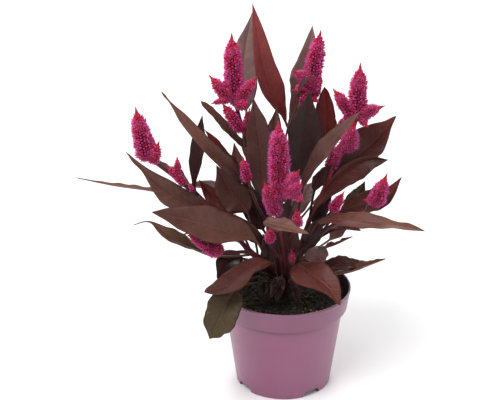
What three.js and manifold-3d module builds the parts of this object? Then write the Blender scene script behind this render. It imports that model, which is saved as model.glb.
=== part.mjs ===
// A plume celosia in its nursery pot: a round plastic pot, the potting soil that fills it, dark bronze
// leafy shoots that stand in holes in the soil, and a spiky magenta plume at the end of each shoot.
// Millimetres, +Z up, +X to the right and +Y to the back. The origin is the centre of the pot's underside.

import * as THREE from "three";
import { mergeVertices } from "three/addons/utils/BufferGeometryUtils.js";
import Module from "manifold-3d";

const wasm = await Module();
wasm.setup();

// ---- driving dimensions -------------------------------------------------------------------------------

const POT = {
  rimRadius: 60, // outside of the collar at the top
  height: 94,
  wall: 1.6,
  collarHeight: 19,
  collarDraft: 2.6, // how much narrower the collar is at its lower edge
  shoulderRadius: 53.4, // outside of the body just below the collar
  footRadius: 43.2, // outside of the body at the ground
  padRadius: 24, // flat pad in the middle of the floor
  channelHeight: 6, // drain channel round the pad, above the ground
  channelInner: 29,
  segments: 28,
};
const NOTCH = { count: 4, first: -55, width: 17, height: 5.2 }; // drain notches in the foot, angle in degrees
const DRAIN = { count: 4, radius: 3, ring: 34.5 }; // holes in the channel's floor

const SOIL = { level: 86.5, bump: 1.4, crown: 21, clearance: 0.4 }; // flat inside the crown
const SEAT_GAP = 0.3; // between a plume and the shoot that carries it
const HOLE_GAP = 0.4; // round a stem where it stands in the soil
const STEM_SIDES = 6;
const SLIVER = 0.18; // smallest edge that joining keeps

const BLADE = { thick: 0.85, petiole: 2.2, wide: 31, stations: [0, 0.14, 0.34, 0.56, 0.79, 1] };
const FLORET = { pitch: 4.7, rise: 2.2, valley: 0.62 }; // spacing up the spike, lift of a tip, depth between

// ---- colours ------------------------------------------------------------------------------------------

const finish = (color, roughness) => new THREE.MeshStandardMaterial({ color, roughness, metalness: 0 });
const LILAC_PLASTIC = finish(0x9a6483, 0.42);
const PEAT = finish(0x1d1b16, 0.95);
const BRONZE_LEAF = finish(0x452a26, 0.5);
const MAGENTA = finish(0xb81e63, 0.6);

// ---- solids -------------------------------------------------------------------------------------------

// A closed body through rings that each hold the same, even number of points. flat says how many points
// of a ring belong to its first face, so that the two faces of a blade are split into triangles alike.
function skin(rings, flat = 0) {
  const size = rings[0].length;
  const last = (rings.length - 1) * size;
  const faces = [];
  for (let i = 0; i + 1 < rings.length; i++) {
    for (let k = 0; k < size; k++) {
      const a = i * size + k;
      const b = i * size + ((k + 1) % size);
      const [c, d] = [a + size, b + size];
      if (flat && k >= flat) faces.push(a, b, c, b, d, c);
      else faces.push(a, b, d, a, d, c);
    }
  }
  for (let k = 0; k + 1 < size / 2; k++) {
    const [a, b, c, d] = [k, k + 1, size - 2 - k, size - 1 - k];
    faces.push(a, c, b, a, d, c);
    faces.push(last + a, last + b, last + c, last + a, last + c, last + d);
  }
  return solid(rings.flat().flatMap((p) => [p.x, p.y, p.z]), faces);
}

// A body whose rings split every quad along the diagonal that joins its two low points, so that each
// high point stands alone as a four-sided tip.
function tipSkin(rings) {
  const size = rings[0].length;
  const last = (rings.length - 1) * size;
  const faces = [];
  for (let i = 0; i + 1 < rings.length; i++) {
    for (let k = 0; k < size; k++) {
      const a = i * size + k;
      const b = i * size + ((k + 1) % size);
      const [c, d] = [a + size, b + size];
      if ((i + k) % 2) faces.push(a, b, d, a, d, c);
      else faces.push(a, b, c, b, d, c);
    }
  }
  for (let k = 0; k + 1 < size / 2; k++) {
    const [a, b, c, d] = [k, k + 1, size - 2 - k, size - 1 - k];
    faces.push(a, c, b, a, d, c);
    faces.push(last + a, last + b, last + c, last + a, last + c, last + d);
  }
  return solid(rings.flat().flatMap((p) => [p.x, p.y, p.z]), faces);
}

function solid(points, faces) {
  const made = new wasm.Manifold(
    new wasm.Mesh({
      numProp: 3,
      vertProperties: new Float32Array(points),
      triVerts: new Uint32Array(faces),
    }),
  );
  if (made.volume() < 0) throw new Error("a body is inside out");
  return made;
}

function solidOf(geometry) {
  geometry.deleteAttribute("normal");
  geometry.deleteAttribute("uv");
  const merged = mergeVertices(geometry, 1e-3);
  return solid(merged.attributes.position.array, merged.index.array);
}

function meshOf(name, body, material) {
  const mesh = body.getMesh();
  const geometry = new THREE.BufferGeometry();
  geometry.setAttribute("position", new THREE.BufferAttribute(mesh.vertProperties, 3));
  geometry.setIndex(new THREE.BufferAttribute(mesh.triVerts, 1));
  geometry.computeVertexNormals();
  const made = new THREE.Mesh(geometry, material);
  made.name = name;
  return made;
}

// One body from several, without the slivers that are smaller than SLIVER.
const join = (bodies) => bodies.reduce((sum, body) => sum.add(body)).simplify(SLIVER);
const vector = (p) => new THREE.Vector3(...p);
const lerp = THREE.MathUtils.lerp;
const rad = THREE.MathUtils.degToRad;

// The directions at a place on a curve: along it, out of the face that looks towards facing, and sideways.
function frameAt(curve, t, facing) {
  const along = curve.getTangent(t);
  const out = facing.clone().addScaledVector(along, -facing.dot(along)).normalize();
  const side = out.clone().cross(along);
  return { point: curve.getPoint(t), along, out, side };
}

// ---- pot ----------------------------------------------------------------------------------------------

// The body's outside radius at a height below the collar.
const bodyRadius = (z) =>
  lerp(POT.footRadius, POT.shoulderRadius, z / (POT.height - POT.collarHeight));

function pot() {
  const { wall, height, rimRadius: rim, channelHeight: channel } = POT;
  const collarFoot = height - POT.collarHeight;
  const profile = [
    [0, 0],
    [POT.padRadius, 0],
    [POT.channelInner, channel],
    [bodyRadius(channel) - wall, channel],
    [POT.footRadius - wall, 0],
    [POT.footRadius, 0],
    [POT.shoulderRadius, collarFoot],
    [rim - POT.collarDraft, collarFoot + 0.8],
    [rim, height],
    [rim - wall, height],
    [rim - POT.collarDraft - wall, collarFoot + 0.8 + wall],
    [POT.shoulderRadius - wall, collarFoot + 0.4],
    [bodyRadius(channel) - wall, channel + wall],
    [POT.channelInner - wall, channel + wall],
    [POT.padRadius - wall, wall],
    [0, wall],
  ].map(([r, z]) => new THREE.Vector2(r, z));
  const shell = new THREE.LatheGeometry(profile, POT.segments).rotateX(Math.PI / 2);
  let body = solidOf(shell);
  for (let i = 0; i < NOTCH.count; i++) {
    const angle = rad(NOTCH.first + (i * 360) / NOTCH.count);
    body = body.subtract(notch(angle));
  }
  for (let i = 0; i < DRAIN.count; i++) {
    const angle = rad(NOTCH.first + (i * 360) / DRAIN.count);
    const drill = new THREE.CylinderGeometry(DRAIN.radius, DRAIN.radius, 2 * channel, 6)
      .rotateX(Math.PI / 2)
      .translate(DRAIN.ring * Math.sin(angle), -DRAIN.ring * Math.cos(angle), channel);
    body = body.subtract(solidOf(drill));
  }
  return body;
}

// A round-shouldered block that cuts one drain notch through the foot, angle measured from the front.
function notch(angle) {
  const { width, height } = NOTCH;
  const shoulder = height * 0.6;
  const arch = new THREE.Shape();
  arch.moveTo(-width / 2, -1);
  arch.lineTo(width / 2, -1);
  arch.lineTo(width / 2, height - shoulder);
  arch.absarc(width / 2 - shoulder, height - shoulder, shoulder, 0, Math.PI / 2);
  arch.absarc(-width / 2 + shoulder, height - shoulder, shoulder, Math.PI / 2, Math.PI);
  const depth = 14;
  const block = new THREE.ExtrudeGeometry(arch, { depth, bevelEnabled: false, curveSegments: 2 })
    .rotateX(Math.PI / 2)
    .translate(0, -POT.footRadius + depth - 4, 0)
    .rotateZ(angle);
  return solidOf(block);
}

// ---- soil ---------------------------------------------------------------------------------------------

// Height of the soil's surface above its level: low waves outside the flat crown where the stems stand.
function soilBump(r, angle) {
  const lumps = Math.sin(0.33 * r + 3 * angle) + Math.sin(5 * angle - 0.21 * r);
  return SOIL.bump * 0.5 * lumps * Math.min(1, (r - SOIL.crown) / 12);
}

function soil(stemHoles) {
  const gap = SOIL.clearance + POT.wall;
  const floor = POT.channelHeight + gap;
  const collarFoot = POT.height - POT.collarHeight;
  const section = [
    [POT.padRadius - gap, gap],
    [POT.channelInner - gap, floor],
    [bodyRadius(floor) - gap, floor],
    [POT.shoulderRadius - gap, collarFoot + 0.8],
    [POT.rimRadius - POT.collarDraft - gap, collarFoot + 0.8 + gap],
    [POT.rimRadius - gap - 1.2, SOIL.level - 1],
  ];
  const surface = [46, 34, SOIL.crown];
  const rings = [];
  const ring = (r, height) => {
    const points = [];
    for (let k = 0; k < POT.segments; k++) {
      const angle = (k * 2 * Math.PI) / POT.segments;
      points.push(new THREE.Vector3(r * Math.cos(angle), r * Math.sin(angle), height(angle)));
    }
    rings.push(points);
  };
  section.forEach(([r, z]) => ring(r, () => z));
  surface.forEach((r) => ring(r, (angle) => SOIL.level + soilBump(r, angle)));

  return stemHoles.reduce((body, hole) => body.subtract(hole), skin(rings));
}

// ---- stems and leaves ---------------------------------------------------------------------------------

const FORWARD = new THREE.Vector3(0.25, -1, 0.1);
const curveThrough = (points) => new THREE.CatmullRomCurve3(points.map(vector));

// A stem with a ring of corners at each of the curve's own points, up to the last one asked for.
function tube(curve, radiusAt, last = curve.points.length - 1) {
  const rings = [];
  for (let i = 0; i <= last; i++) {
    const t = i / (curve.points.length - 1);
    const { point, out, side } = frameAt(curve, t, FORWARD);
    const points = [];
    for (let k = 0; k < STEM_SIDES; k++) {
      const angle = (k * 2 * Math.PI) / STEM_SIDES;
      const reach = out.clone().multiplyScalar(Math.cos(angle)).addScaledVector(side, -Math.sin(angle));
      points.push(point.clone().addScaledVector(reach, radiusAt(t)));
    }
    rings.push(points);
  }
  return skin(rings);
}

// The point where a stem reaches a height.
function pointAtHeight(curve, height) {
  let [low, high] = [0, 1];
  for (let i = 0; i < 20; i++) {
    const middle = (low + high) / 2;
    if (curve.getPoint(middle).z < height) low = middle;
    else high = middle;
  }
  return curve.getPoint(low);
}

// How far an uneven blade reaches to one side of its midrib at t, straight between the rows of edges.
function edgeAt(edges, side, t) {
  const rows = [[0, 0, 0], ...edges, [1, 0, 0]];
  const next = Math.max(1, rows.findIndex((row) => row[0] >= t));
  const [before, after] = [rows[next - 1], rows[next]];
  return lerp(before[side], after[side], (t - before[0]) / (after[0] - before[0]));
}

// A leaf: its petiole runs from the stem at root to the first point of path, the foot of the blade, and
// its midrib follows the rest. Its upper side looks towards faces. The two halves rise from the midrib by
// fold degrees, and their edges wave. An uneven blade has edges: how far it reaches to the left and to the
// right of the midrib, with the tip up, at shares of its length.
function leaf(root, { path, width, faces, widest = 0.4, fold = 22, wave = 1.3, edges }) {
  const midrib = curveThrough([root.toArray(), ...path]);
  const foot = 1 / path.length;
  const facing = vector(faces).normalize();
  const halves = width >= BLADE.wide ? 2 : 1;
  const stations = [0, ...BLADE.stations.map((t) => lerp(foot, 1, t))];
  const swellAt = (t) => Math.sin(Math.PI * t ** (Math.log(0.5) / Math.log(widest))) ** 0.9;
  const even = (t) => [(width / 2) * swellAt(t), (width / 2) * swellAt(t)];
  const uneven = (t) => [1, 2].map((side) => edgeAt(edges, side, t));
  const rings = stations.map((s) => {
    const { point, out, side } = frameAt(midrib, s, facing);
    const t = Math.max(0, (s - foot) / (1 - foot));
    const [left, right] = edges ? uneven(t) : even(t);
    const thick = t > 0 ? BLADE.thick : BLADE.petiole * 0.8;
    const wavy = wave * swellAt(t) * Math.sin(2 * Math.PI * (2.3 * t + width / 9));
    const open = rad(fold * Math.min(1, 4 * t));
    const edge = [];
    for (let k = -halves; k <= halves; k++) {
      const c = k / halves;
      const halfWidth = Math.max(c > 0 ? right : left, lerp(BLADE.petiole / 2, 0.45, t));
      const rise = Math.abs(c) * halfWidth * Math.sin(open) + wavy * c * Math.abs(c);
      edge.push(
        point
          .clone()
          .addScaledVector(side, -c * halfWidth * Math.cos(open))
          .addScaledVector(out, rise + thick / 2),
      );
    }
    const under = edge.map((p) => p.clone().addScaledVector(out, -thick)).reverse();
    return [...edge, ...under];
  });
  return skin(rings, 2 * halves + 1);
}

// ---- plumes -------------------------------------------------------------------------------------------

// One spike of crowded pointed florets: every other point of each ring is a floret's tip, which stands
// out and up, and the points between lie low. The spike swells above its foot and ends in a bare point.
function spike({ from, to, radius }) {
  const [foot, point] = [vector(from), vector(to)];
  const axis = new THREE.LineCurve3(foot, point);
  const length = foot.distanceTo(point);
  const rows = Math.max(4, Math.round(length / FLORET.pitch));
  const around = 2 * Math.max(3, Math.round((radius * Math.PI) / FLORET.pitch / 1.3));
  const rings = [];
  for (let i = 0; i <= rows; i++) {
    const t = i / rows;
    const { point: centre, along, out, side } = frameAt(axis, t, FORWARD);
    const below = (length * (1 - t)) / radius;
    const above = (length * t) / radius;
    const needle = 0.3 * Math.min(1, below);
    const bulge = 1 - Math.exp(-Math.max(0, below - 0.3) / 0.85);
    const swell = Math.max(needle, bulge) * Math.min(1, 0.6 + 0.8 * above);
    const ring = [];
    for (let k = 0; k < around; k++) {
      const angle = (k * 2 * Math.PI) / around;
      const tipHere = (i + k) % 2 === 0 && i > 0 && i < rows;
      const reach = Math.max(0.4, radius * swell * (tipHere ? 1 : FLORET.valley));
      ring.push(
        centre
          .clone()
          .addScaledVector(out, reach * Math.cos(angle))
          .addScaledVector(side, -reach * Math.sin(angle))
          .addScaledVector(along, tipHere ? FLORET.rise * (1 - t) : 0),
      );
    }
    rings.push(ring);
  }
  return tipSkin(rings);
}

// A plume: a stalk that carries on from the end of its stem, with its spikes fused to it.
function plume(stem, radius, stalk, spikes) {
  const start = stem.getPoint(1).addScaledVector(stem.getTangent(1), SEAT_GAP);
  const line = curveThrough([start.toArray(), ...stalk]);
  const body = tube(line, () => radius);
  return join([body, ...spikes.map(spike)]);
}

// ---- the plant ----------------------------------------------------------------------------------------

// Each shoot: the points its stem passes through, its radius at the soil, its leaves and its plumes. A
// leaf has the height at which it leaves the stem and the points its midrib passes through, from the foot
// of the blade to its tip. A plume has its stalk and its spikes; a side plume also has its own side stem.
const SHOOTS = {
  upper_left: {
    radius: 2.6,
    stem: [[-4, 5, 72], [-4, 5, 90], [-6, 2, 118], [-15, -2, 163], [-26, -2, 191], [-32, 0, 209],
      [-34, 0, 226]],
    leaves: [
      { at: 218, path: [[-34, 22, 252], [-36, 32, 292], [-29, 34, 335]], width: 25, faces: [0.1, -1, 0.1] },
      { at: 204, path: [[-33, 7, 219], [-46, 10, 233], [-60, 9, 250], [-73, 6, 265]], width: 9,
        faces: [0.3, -0.8, 0.5],
        edges: [[0.2, 3, 3.5], [0.45, 4.2, 4.4], [0.62, 3.4, 3.8], [0.78, 3.8, 4], [0.92, 2.6, 2.4]] },
      { at: 172, path: [[-37, 4, 191], [-41, 10, 205], [-45, 12, 226]], width: 14, faces: [0.1, -1, 0] },
      { at: 124, path: [[-19, 0, 148], [-28, 5, 167], [-38, 7, 186]], width: 22, faces: [0.1, -1, 0.1] },
      { at: 152, path: [[-20, -8, 183], [-21, -13, 218], [-25, -15, 250], [-28, -16, 275]], width: 27,
        faces: [0.1, -1, 0] },
      { at: 180, path: [[-37, -10, 197], [-51, -12, 218], [-69, -14, 246]], width: 12,
        faces: [0.4, -0.6, 0.6], edges: [[0.3, 4, 6], [0.6, 4, 6], [0.85, 2.4, 3.4]] },
      { at: 158, path: [[-31, -14, 196], [-51, -26, 220], [-75, -36, 250], [-103, -38, 287]], width: 13,
        faces: [0.1, -0.9, 0.4],
        edges: [[0.15, 5.5, 5.5], [0.33, 6.6, 6.4], [0.52, 6.5, 6.2], [0.67, 5.6, 5.2], [0.8, 4.2, 4],
          [0.88, 1.6, 1.8], [0.93, 0.7, 0.7], [0.97, 1.2, 1.1]] },
    ],
    plumes: {
      upper_left: {
        stalk: [[-36, 0, 237], [-41, 0, 257], [-45, 0, 271]],
        spikes: [
          { from: [-44, 0, 266], to: [-46, 0, 325], radius: 9.6 },
          { from: [-47, -2, 268], to: [-65, -6, 291], radius: 7.2 },
          { from: [-50, -5, 270], to: [-63, -12, 268], radius: 3.8 },
          { from: [-42, -2, 268], to: [-25, -8, 290], radius: 6.8 },
          { from: [-40, 0, 264], to: [-34, -18, 270], radius: 7.4 },
          { from: [-38, -1, 241], to: [-54, -8, 267], radius: 6.4 },
          { from: [-35, -1, 238], to: [-31, -6, 262], radius: 4.8 },
          { from: [-42, 3, 262], to: [-46, 20, 279], radius: 6 },
        ],
      },
      inner_left: {
        at: 146,
        stem: [[-24, -14, 176], [-30, -27, 197]],
        stalk: [[-32, -30, 208]],
        spikes: [{ from: [-33, -30, 206], to: [-37, -34, 229], radius: 5.4 }],
      },
    },
  },
  upper_right: {
    radius: 2.8,
    stem: [[4, 8, 72], [4, 8, 90], [3, 8, 118], [3, 8, 149], [6, 12, 190], [12, 16, 226], [19, 18, 248]],
    leaves: [
      { at: 214, path: [[0, 16, 243], [-8, 15, 260], [-19, 12, 294], [-29, 8, 349]], width: 28,
        faces: [0.35, -1, 0.1],
        edges: [[0.15, 2, 5], [0.33, 5.5, 9], [0.5, 10.5, 11.5], [0.67, 10, 10.5], [0.83, 6, 6.5],
          [0.95, 1.8, 2]] },
      { at: 206, path: [[5, 28, 237], [15, 40, 260], [19, 44, 283], [23, 41, 322]], width: 33,
        faces: [0, -1, 0.1],
        edges: [[0.33, 12, 13], [0.52, 15, 15.5], [0.67, 13, 13], [0.85, 6.5, 7], [0.95, 2.2, 2.4]] },
      { at: 178, path: [[-7, 12, 209], [-10, 6, 236], [-8, 2, 262]], width: 16, faces: [0.1, -1, 0] },
      { at: 170, path: [[11, -6, 197], [14, -14, 230], [17, -15, 255], [19, -12, 279]], width: 30,
        faces: [0, -1, 0.1],
        edges: [[0.15, 9, 11], [0.33, 14, 16], [0.55, 15.5, 15], [0.67, 14.5, 12], [0.85, 6.5, 5],
          [0.94, 2.5, 2]] },
      { at: 192, path: [[0, 4, 232], [8, -2, 263], [13, -4, 281], [23, -4, 293]], width: 9,
        faces: [-1, -0.35, 0.2] },
      { at: 184, path: [[27, 14, 208], [35, 17, 235], [33, 18, 274]], width: 27, faces: [-0.4, -0.9, 0],
        edges: [[0.2, 7, 7], [0.5, 9.5, 9.5], [0.75, 9, 10], [0.9, 4.5, 7], [0.96, 2, 4.5]] },
    ],
    plumes: {
      upper_right: {
        stalk: [[21, 20, 261], [23, 20, 270]],
        spikes: [
          { from: [20, 19, 268], to: [29, 22, 322], radius: 9 },
          { from: [22, 17, 278], to: [5, 8, 291], radius: 8 },
          { from: [19, 17, 273], to: [5, 6, 274], radius: 6.4 },
          { from: [20, 17, 274], to: [11, 5, 259], radius: 4.6 },
          { from: [22, 18, 265], to: [28, 10, 262], radius: 4.4 },
          { from: [24, 21, 264], to: [31, 32, 283], radius: 5.6 },
        ],
      },
    },
  },
  right: {
    radius: 2.4,
    stem: [[10, 2, 72], [10, 2, 90], [12, 2, 118], [20, 0, 152], [26, 0, 170], [31, 0, 181]],
    leaves: [
      { at: 166, path: [[43, 6, 200], [58, 11, 210], [76, 21, 221], [97, 24, 246]], width: 36, widest: 0.55,
        faces: [-0.5, -0.9, 0.3],
        edges: [[0.15, 8, 9], [0.33, 13, 14], [0.55, 17, 16], [0.7, 17.5, 14], [0.8, 12.5, 10],
          [0.9, 5, 4.5], [0.96, 2.2, 2]] },
      { at: 146, path: [[27, -4, 171], [47, -8, 202], [68, -12, 217], [87, -14, 219]], width: 32,
        faces: [0.1, -1, 0.2], fold: 34,
        edges: [[0.2, 6, 8], [0.33, 7, 12], [0.5, 7.5, 14], [0.67, 6, 12], [0.85, 3, 6]] },
      { at: 140, path: [[54, 10, 172], [65, 18, 174], [72, 24, 185]], width: 13, faces: [0, -0.9, 0.4] },
      { at: 130, path: [[25, 2, 153], [33, 2, 170], [41, 0, 181]], width: 15, faces: [0.2, -1, 0.2] },
      { at: 156, path: [[25, -8, 188], [30, -10, 203], [40, -12, 215]], width: 13, faces: [0.2, -1, 0.2] },
    ],
    plumes: {
      right: {
        stalk: [[37, 0, 196], [42, 1, 208], [53, 3, 225], [58, 5, 239], [61, 5, 252]],
        spikes: [
          { from: [60, 5, 248], to: [62, 6, 298], radius: 9.2 },
          { from: [57, 4, 252], to: [39, -2, 278], radius: 7 },
          { from: [55, 3, 252], to: [42, -4, 246], radius: 3.6 },
          { from: [63, 4, 254], to: [83, -2, 263], radius: 8.4 },
          { from: [64, 3, 250], to: [69, -8, 246], radius: 5.4 },
          { from: [53, 1, 223], to: [57, -7, 251], radius: 9.8 },
          { from: [38, -1, 206], to: [47, -4, 232], radius: 6.6 },
          { from: [60, 8, 248], to: [66, 24, 260], radius: 6 },
        ],
      },
      inner_right: {
        at: 122,
        stem: [[22, -3, 141], [33, -10, 156], [38, -14, 163]],
        stalk: [[42, -15, 171]],
        spikes: [{ from: [40, -15, 172], to: [50, -17, 191], radius: 6 }],
      },
    },
  },
  front: {
    radius: 2.6,
    stem: [[0, -9, 72], [0, -9, 90], [0, -13, 108], [0, -20, 126], [-3, -30, 147], [-6, -40, 170]],
    leaves: [
      { at: 160, path: [[-19, -55, 179], [-6, -62, 179], [18, -70, 175]], width: 14,
        faces: [0.1, -0.6, 0.8],
        edges: [[0.12, 5, 4], [0.3, 6, 7], [0.5, 6.5, 7], [0.66, 7.5, 6], [0.8, 3.2, 4.5], [0.92, 1.5, 2]] },
      { at: 152, path: [[12, -34, 202], [28, -41, 234], [44, -45, 256], [59, -46, 273]], width: 16,
        faces: [-0.5, -0.7, 0.5] },
      { at: 104, path: [[10, -30, 128], [21, -50, 129], [34, -64, 124], [45, -74, 111]], width: 36,
        faces: [0.25, -0.8, 0.55],
        edges: [[0.17, 8, 13], [0.31, 11.5, 19.5], [0.42, 14, 19.5], [0.53, 14.5, 15.5], [0.68, 12, 9.5],
          [0.83, 7, 4.6], [0.95, 2.5, 2]] },
      { at: 100, path: [[-5, -22, 112], [-9, -33, 108], [-13, -42, 101]], width: 11,
        faces: [-0.3, -0.5, 0.8] },
      { at: 112, path: [[4, -19, 123], [2, -19, 146], [1, -22, 185]], width: 20, faces: [0.1, -0.9, 0.3],
        edges: [[0.2, 8, 8], [0.45, 11, 10], [0.7, 13, 8], [0.85, 8, 5], [0.95, 3, 2]] },
    ],
    plumes: {
      front: {
        stalk: [[-5, -44, 185], [-6, -46, 199]],
        spikes: [
          { from: [-6, -47, 198], to: [-8, -50, 265], radius: 9.8 },
          { from: [-9, -44, 182], to: [-19, -55, 214], radius: 7.4 },
          { from: [-2, -48, 203], to: [9, -60, 227], radius: 9 },
          { from: [-1, -50, 203], to: [11, -68, 218], radius: 6.4 },
          { from: [0, -50, 207], to: [13, -68, 203], radius: 5.6 },
          { from: [-6, -44, 196], to: [-8, -28, 214], radius: 6 },
        ],
      },
      low_front: {
        at: 116,
        stem: [[-6, -26, 134], [-13, -34, 148]],
        stalk: [[-14, -38, 157]],
        spikes: [{ from: [-14, -37, 153], to: [-13, -41, 169], radius: 5.8 }],
      },
      bud: {
        at: 130,
        stem: [[2, -32, 152], [7, -42, 165]],
        stalk: [[9, -47, 175]],
        spikes: [{ from: [9, -46, 171], to: [8, -50, 189], radius: 6 }],
      },
      crown: {
        at: 98,
        stem: [[5, -20, 116], [6, -24, 127]],
        stalk: [[6, -26, 134]],
        spikes: [{ from: [6, -26, 130], to: [5, -28, 141], radius: 3.2 }],
      },
    },
  },
  left: {
    radius: 2.5,
    stem: [[-10, 0, 72], [-10, 0, 90], [-13, 0, 106], [-24, -6, 122], [-40, -10, 142], [-55, -14, 163],
      [-68, -18, 180], [-75, -20, 189]],
    leaves: [
      { at: 134, path: [[-52, -8, 163], [-79, -12, 176], [-105, -14, 193], [-137, -12, 226]], width: 25,
        widest: 0.35, faces: [-0.2, -0.9, 0.4],
        edges: [[0.2, 8, 8], [0.4, 11, 10], [0.58, 12, 11], [0.68, 9.5, 10.5], [0.76, 5.5, 7],
          [0.84, 2.2, 3.8], [0.92, 2.2, 1.6], [0.97, 0.8, 0.8]] },
      { at: 112, path: [[-20, -16, 141], [-37, -20, 160], [-53, -22, 175]], width: 15,
        faces: [-0.2, -0.9, 0.4] },
      { at: 170, path: [[-81, -6, 190], [-100, -2, 204], [-119, 0, 214]], width: 13,
        faces: [0.3, -0.3, 0.9] },
      { at: 176, path: [[-78, -7, 187], [-77, -6, 210], [-74, -6, 232], [-71, -4, 256]], width: 18,
        faces: [-0.5, -0.9, 0],
        edges: [[0.18, 3.5, 3], [0.4, 7, 6.5], [0.58, 7.5, 9], [0.72, 6, 7.5], [0.87, 3, 4]] },
      { at: 160, path: [[-85, 8, 175], [-119, 14, 180], [-151, 18, 183], [-186, 22, 189]], width: 8,
        faces: [0, 0, 1], wave: 0.4 },
      { at: 128, path: [[-48, 0, 165], [-63, 8, 176], [-76, 12, 191]], width: 16, faces: [0, -1, 0.2] },
      { at: 120, path: [[-33, -6, 167], [-47, -4, 185], [-60, 0, 209]], width: 30,
        faces: [-0.1, -0.95, 0.3] },
    ],
    plumes: {
      left: {
        stalk: [[-87, -22, 199], [-98, -24, 210], [-109, -26, 220], [-115, -27, 227]],
        spikes: [
          { from: [-117, -27, 224], to: [-125, -28, 270], radius: 9.4 },
          { from: [-113, -28, 222], to: [-106, -33, 242], radius: 7 },
          { from: [-92, -23, 206], to: [-92, -24, 225], radius: 4 },
          { from: [-87, -22, 200], to: [-100, -28, 218], radius: 4.2 },
          { from: [-80, -21, 194], to: [-83, -24, 201], radius: 2.8 },
          { from: [-112, -24, 222], to: [-116, -12, 244], radius: 6 },
        ],
      },
    },
  },
  low_left: {
    radius: 2.3,
    stem: [[-7, -7, 72], [-7, -7, 90], [-10, -11, 112], [-20, -18, 128], [-35, -28, 139], [-46, -36, 142],
      [-52, -40, 144]],
    leaves: [
      { at: 122, path: [[-26, -26, 149], [-43, -40, 161], [-72, -56, 178], [-112, -62, 191]], width: 34,
        widest: 0.55, faces: [0, -0.8, 0.6],
        edges: [[0.15, 3, 9], [0.33, 7, 14], [0.6, 16, 16.5], [0.8, 11.5, 11.5], [0.9, 5, 7],
          [0.96, 2, 2.6]] },
      { at: 134,
        path: [[-57, -24, 133], [-81, -34, 146], [-101, -38, 160], [-117, -38, 172], [-130, -38, 169]],
        width: 19, widest: 0.33, faces: [-0.4, -0.3, 0.85],
        edges: [[0.15, 6, 6], [0.3, 8.5, 9], [0.5, 7, 6.5], [0.65, 3.2, 2.6], [0.76, 0.9, 0.9],
          [0.9, 0.45, 0.45]] },
      { at: 116, path: [[-37, -12, 125], [-50, -24, 126], [-59, -34, 115]], width: 27,
        faces: [-0.3, -0.75, 0.6],
        edges: [[0.15, 9, 8], [0.4, 15, 12], [0.65, 13, 9], [0.85, 6, 4], [0.95, 2.5, 2]] },
      { at: 108, path: [[-12, -24, 127], [-32, -44, 130], [-50, -66, 126], [-69, -77, 125]], width: 35,
        widest: 0.5, faces: [-0.2, -0.55, 0.8],
        edges: [[0.15, 6, 7], [0.33, 10, 9.5], [0.6, 14, 10], [0.75, 12.5, 8.5], [0.88, 8.5, 5],
          [0.96, 4, 2.5]] },
      { at: 102, path: [[-41, -53, 117], [-50, -66, 109], [-57, -74, 97], [-65, -76, 80]], width: 30,
        widest: 0.6, faces: [-0.2, -0.95, 0.3], wave: 2.2,
        edges: [[0.15, 10, 9], [0.33, 14, 14], [0.55, 16, 15], [0.72, 14.5, 13], [0.8, 10.5, 10],
          [0.87, 9, 6.5], [0.95, 2.5, 2.5]] },
      { at: 118, path: [[-13, -18, 125], [-14, -20, 139], [-20, -22, 154]], width: 19,
        faces: [0.1, -0.9, 0.3] },
      { at: 100, path: [[-18, -20, 114], [-28, -28, 116], [-40, -34, 110]], width: 15,
        faces: [-0.2, -0.4, 0.9] },
    ],
    plumes: {
      low_left: {
        stalk: [[-57, -43, 147]],
        spikes: [{ from: [-56, -41, 145], to: [-85, -52, 171], radius: 8.4 }],
      },
    },
  },
  low_right: {
    radius: 2.3,
    stem: [[8, -6, 72], [8, -6, 90], [9, -9, 108], [14, -14, 130], [34, -18, 155], [54, -20, 168],
      [63, -22, 172], [67, -22, 177]],
    leaves: [
      { at: 134, path: [[28, -22, 164], [49, -39, 174], [79, -53, 177], [115, -58, 172]], width: 32,
        faces: [0, -0.35, 0.93],
        edges: [[0.15, 6, 10], [0.33, 8, 15.5], [0.5, 8, 15.5], [0.67, 6.5, 12.5], [0.8, 4, 7],
          [0.87, 4.4, 5], [0.95, 2, 2]] },
      { at: 150, path: [[49, 2, 164], [71, 2, 172], [88, -1, 179], [101, -2, 199]], width: 23,
        faces: [-0.3, -0.7, 0.65] },
      { at: 126, path: [[29, -2, 140], [46, -10, 153], [66, -18, 155]], width: 22, faces: [0, 0.1, 1],
        edges: [[0.15, 8, 4], [0.4, 9, 5], [0.7, 7, 4.5], [0.9, 3, 2]] },
      { at: 112, path: [[32, 6, 126], [45, 4, 132], [61, 0, 142]], width: 9, faces: [0, 0.1, 1] },
      { at: 118, path: [[28, -6, 134], [27, -26, 133], [24, -35, 129]], width: 21, faces: [0, -0.15, 1],
        edges: [[0.15, 6, 6], [0.4, 10.5, 10], [0.65, 11, 11], [0.85, 7.5, 8], [0.95, 3.5, 3.5]] },
      { at: 104, path: [[32, -6, 114], [53, -16, 121], [72, -20, 123]], width: 17, faces: [0, -0.55, 0.8],
        edges: [[0.1, 6, 6], [0.3, 8, 8], [0.5, 8, 7.5], [0.75, 5, 4.5], [0.9, 2.2, 2]] },
      { at: 122, path: [[18, -18, 138], [24, -18, 154], [33, -16, 168]], width: 18,
        faces: [0.2, -0.9, 0.3] },
      { at: 99, path: [[40, -12, 109], [58, -22, 118], [73, -28, 127], [87, -30, 134]], width: 15,
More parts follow.
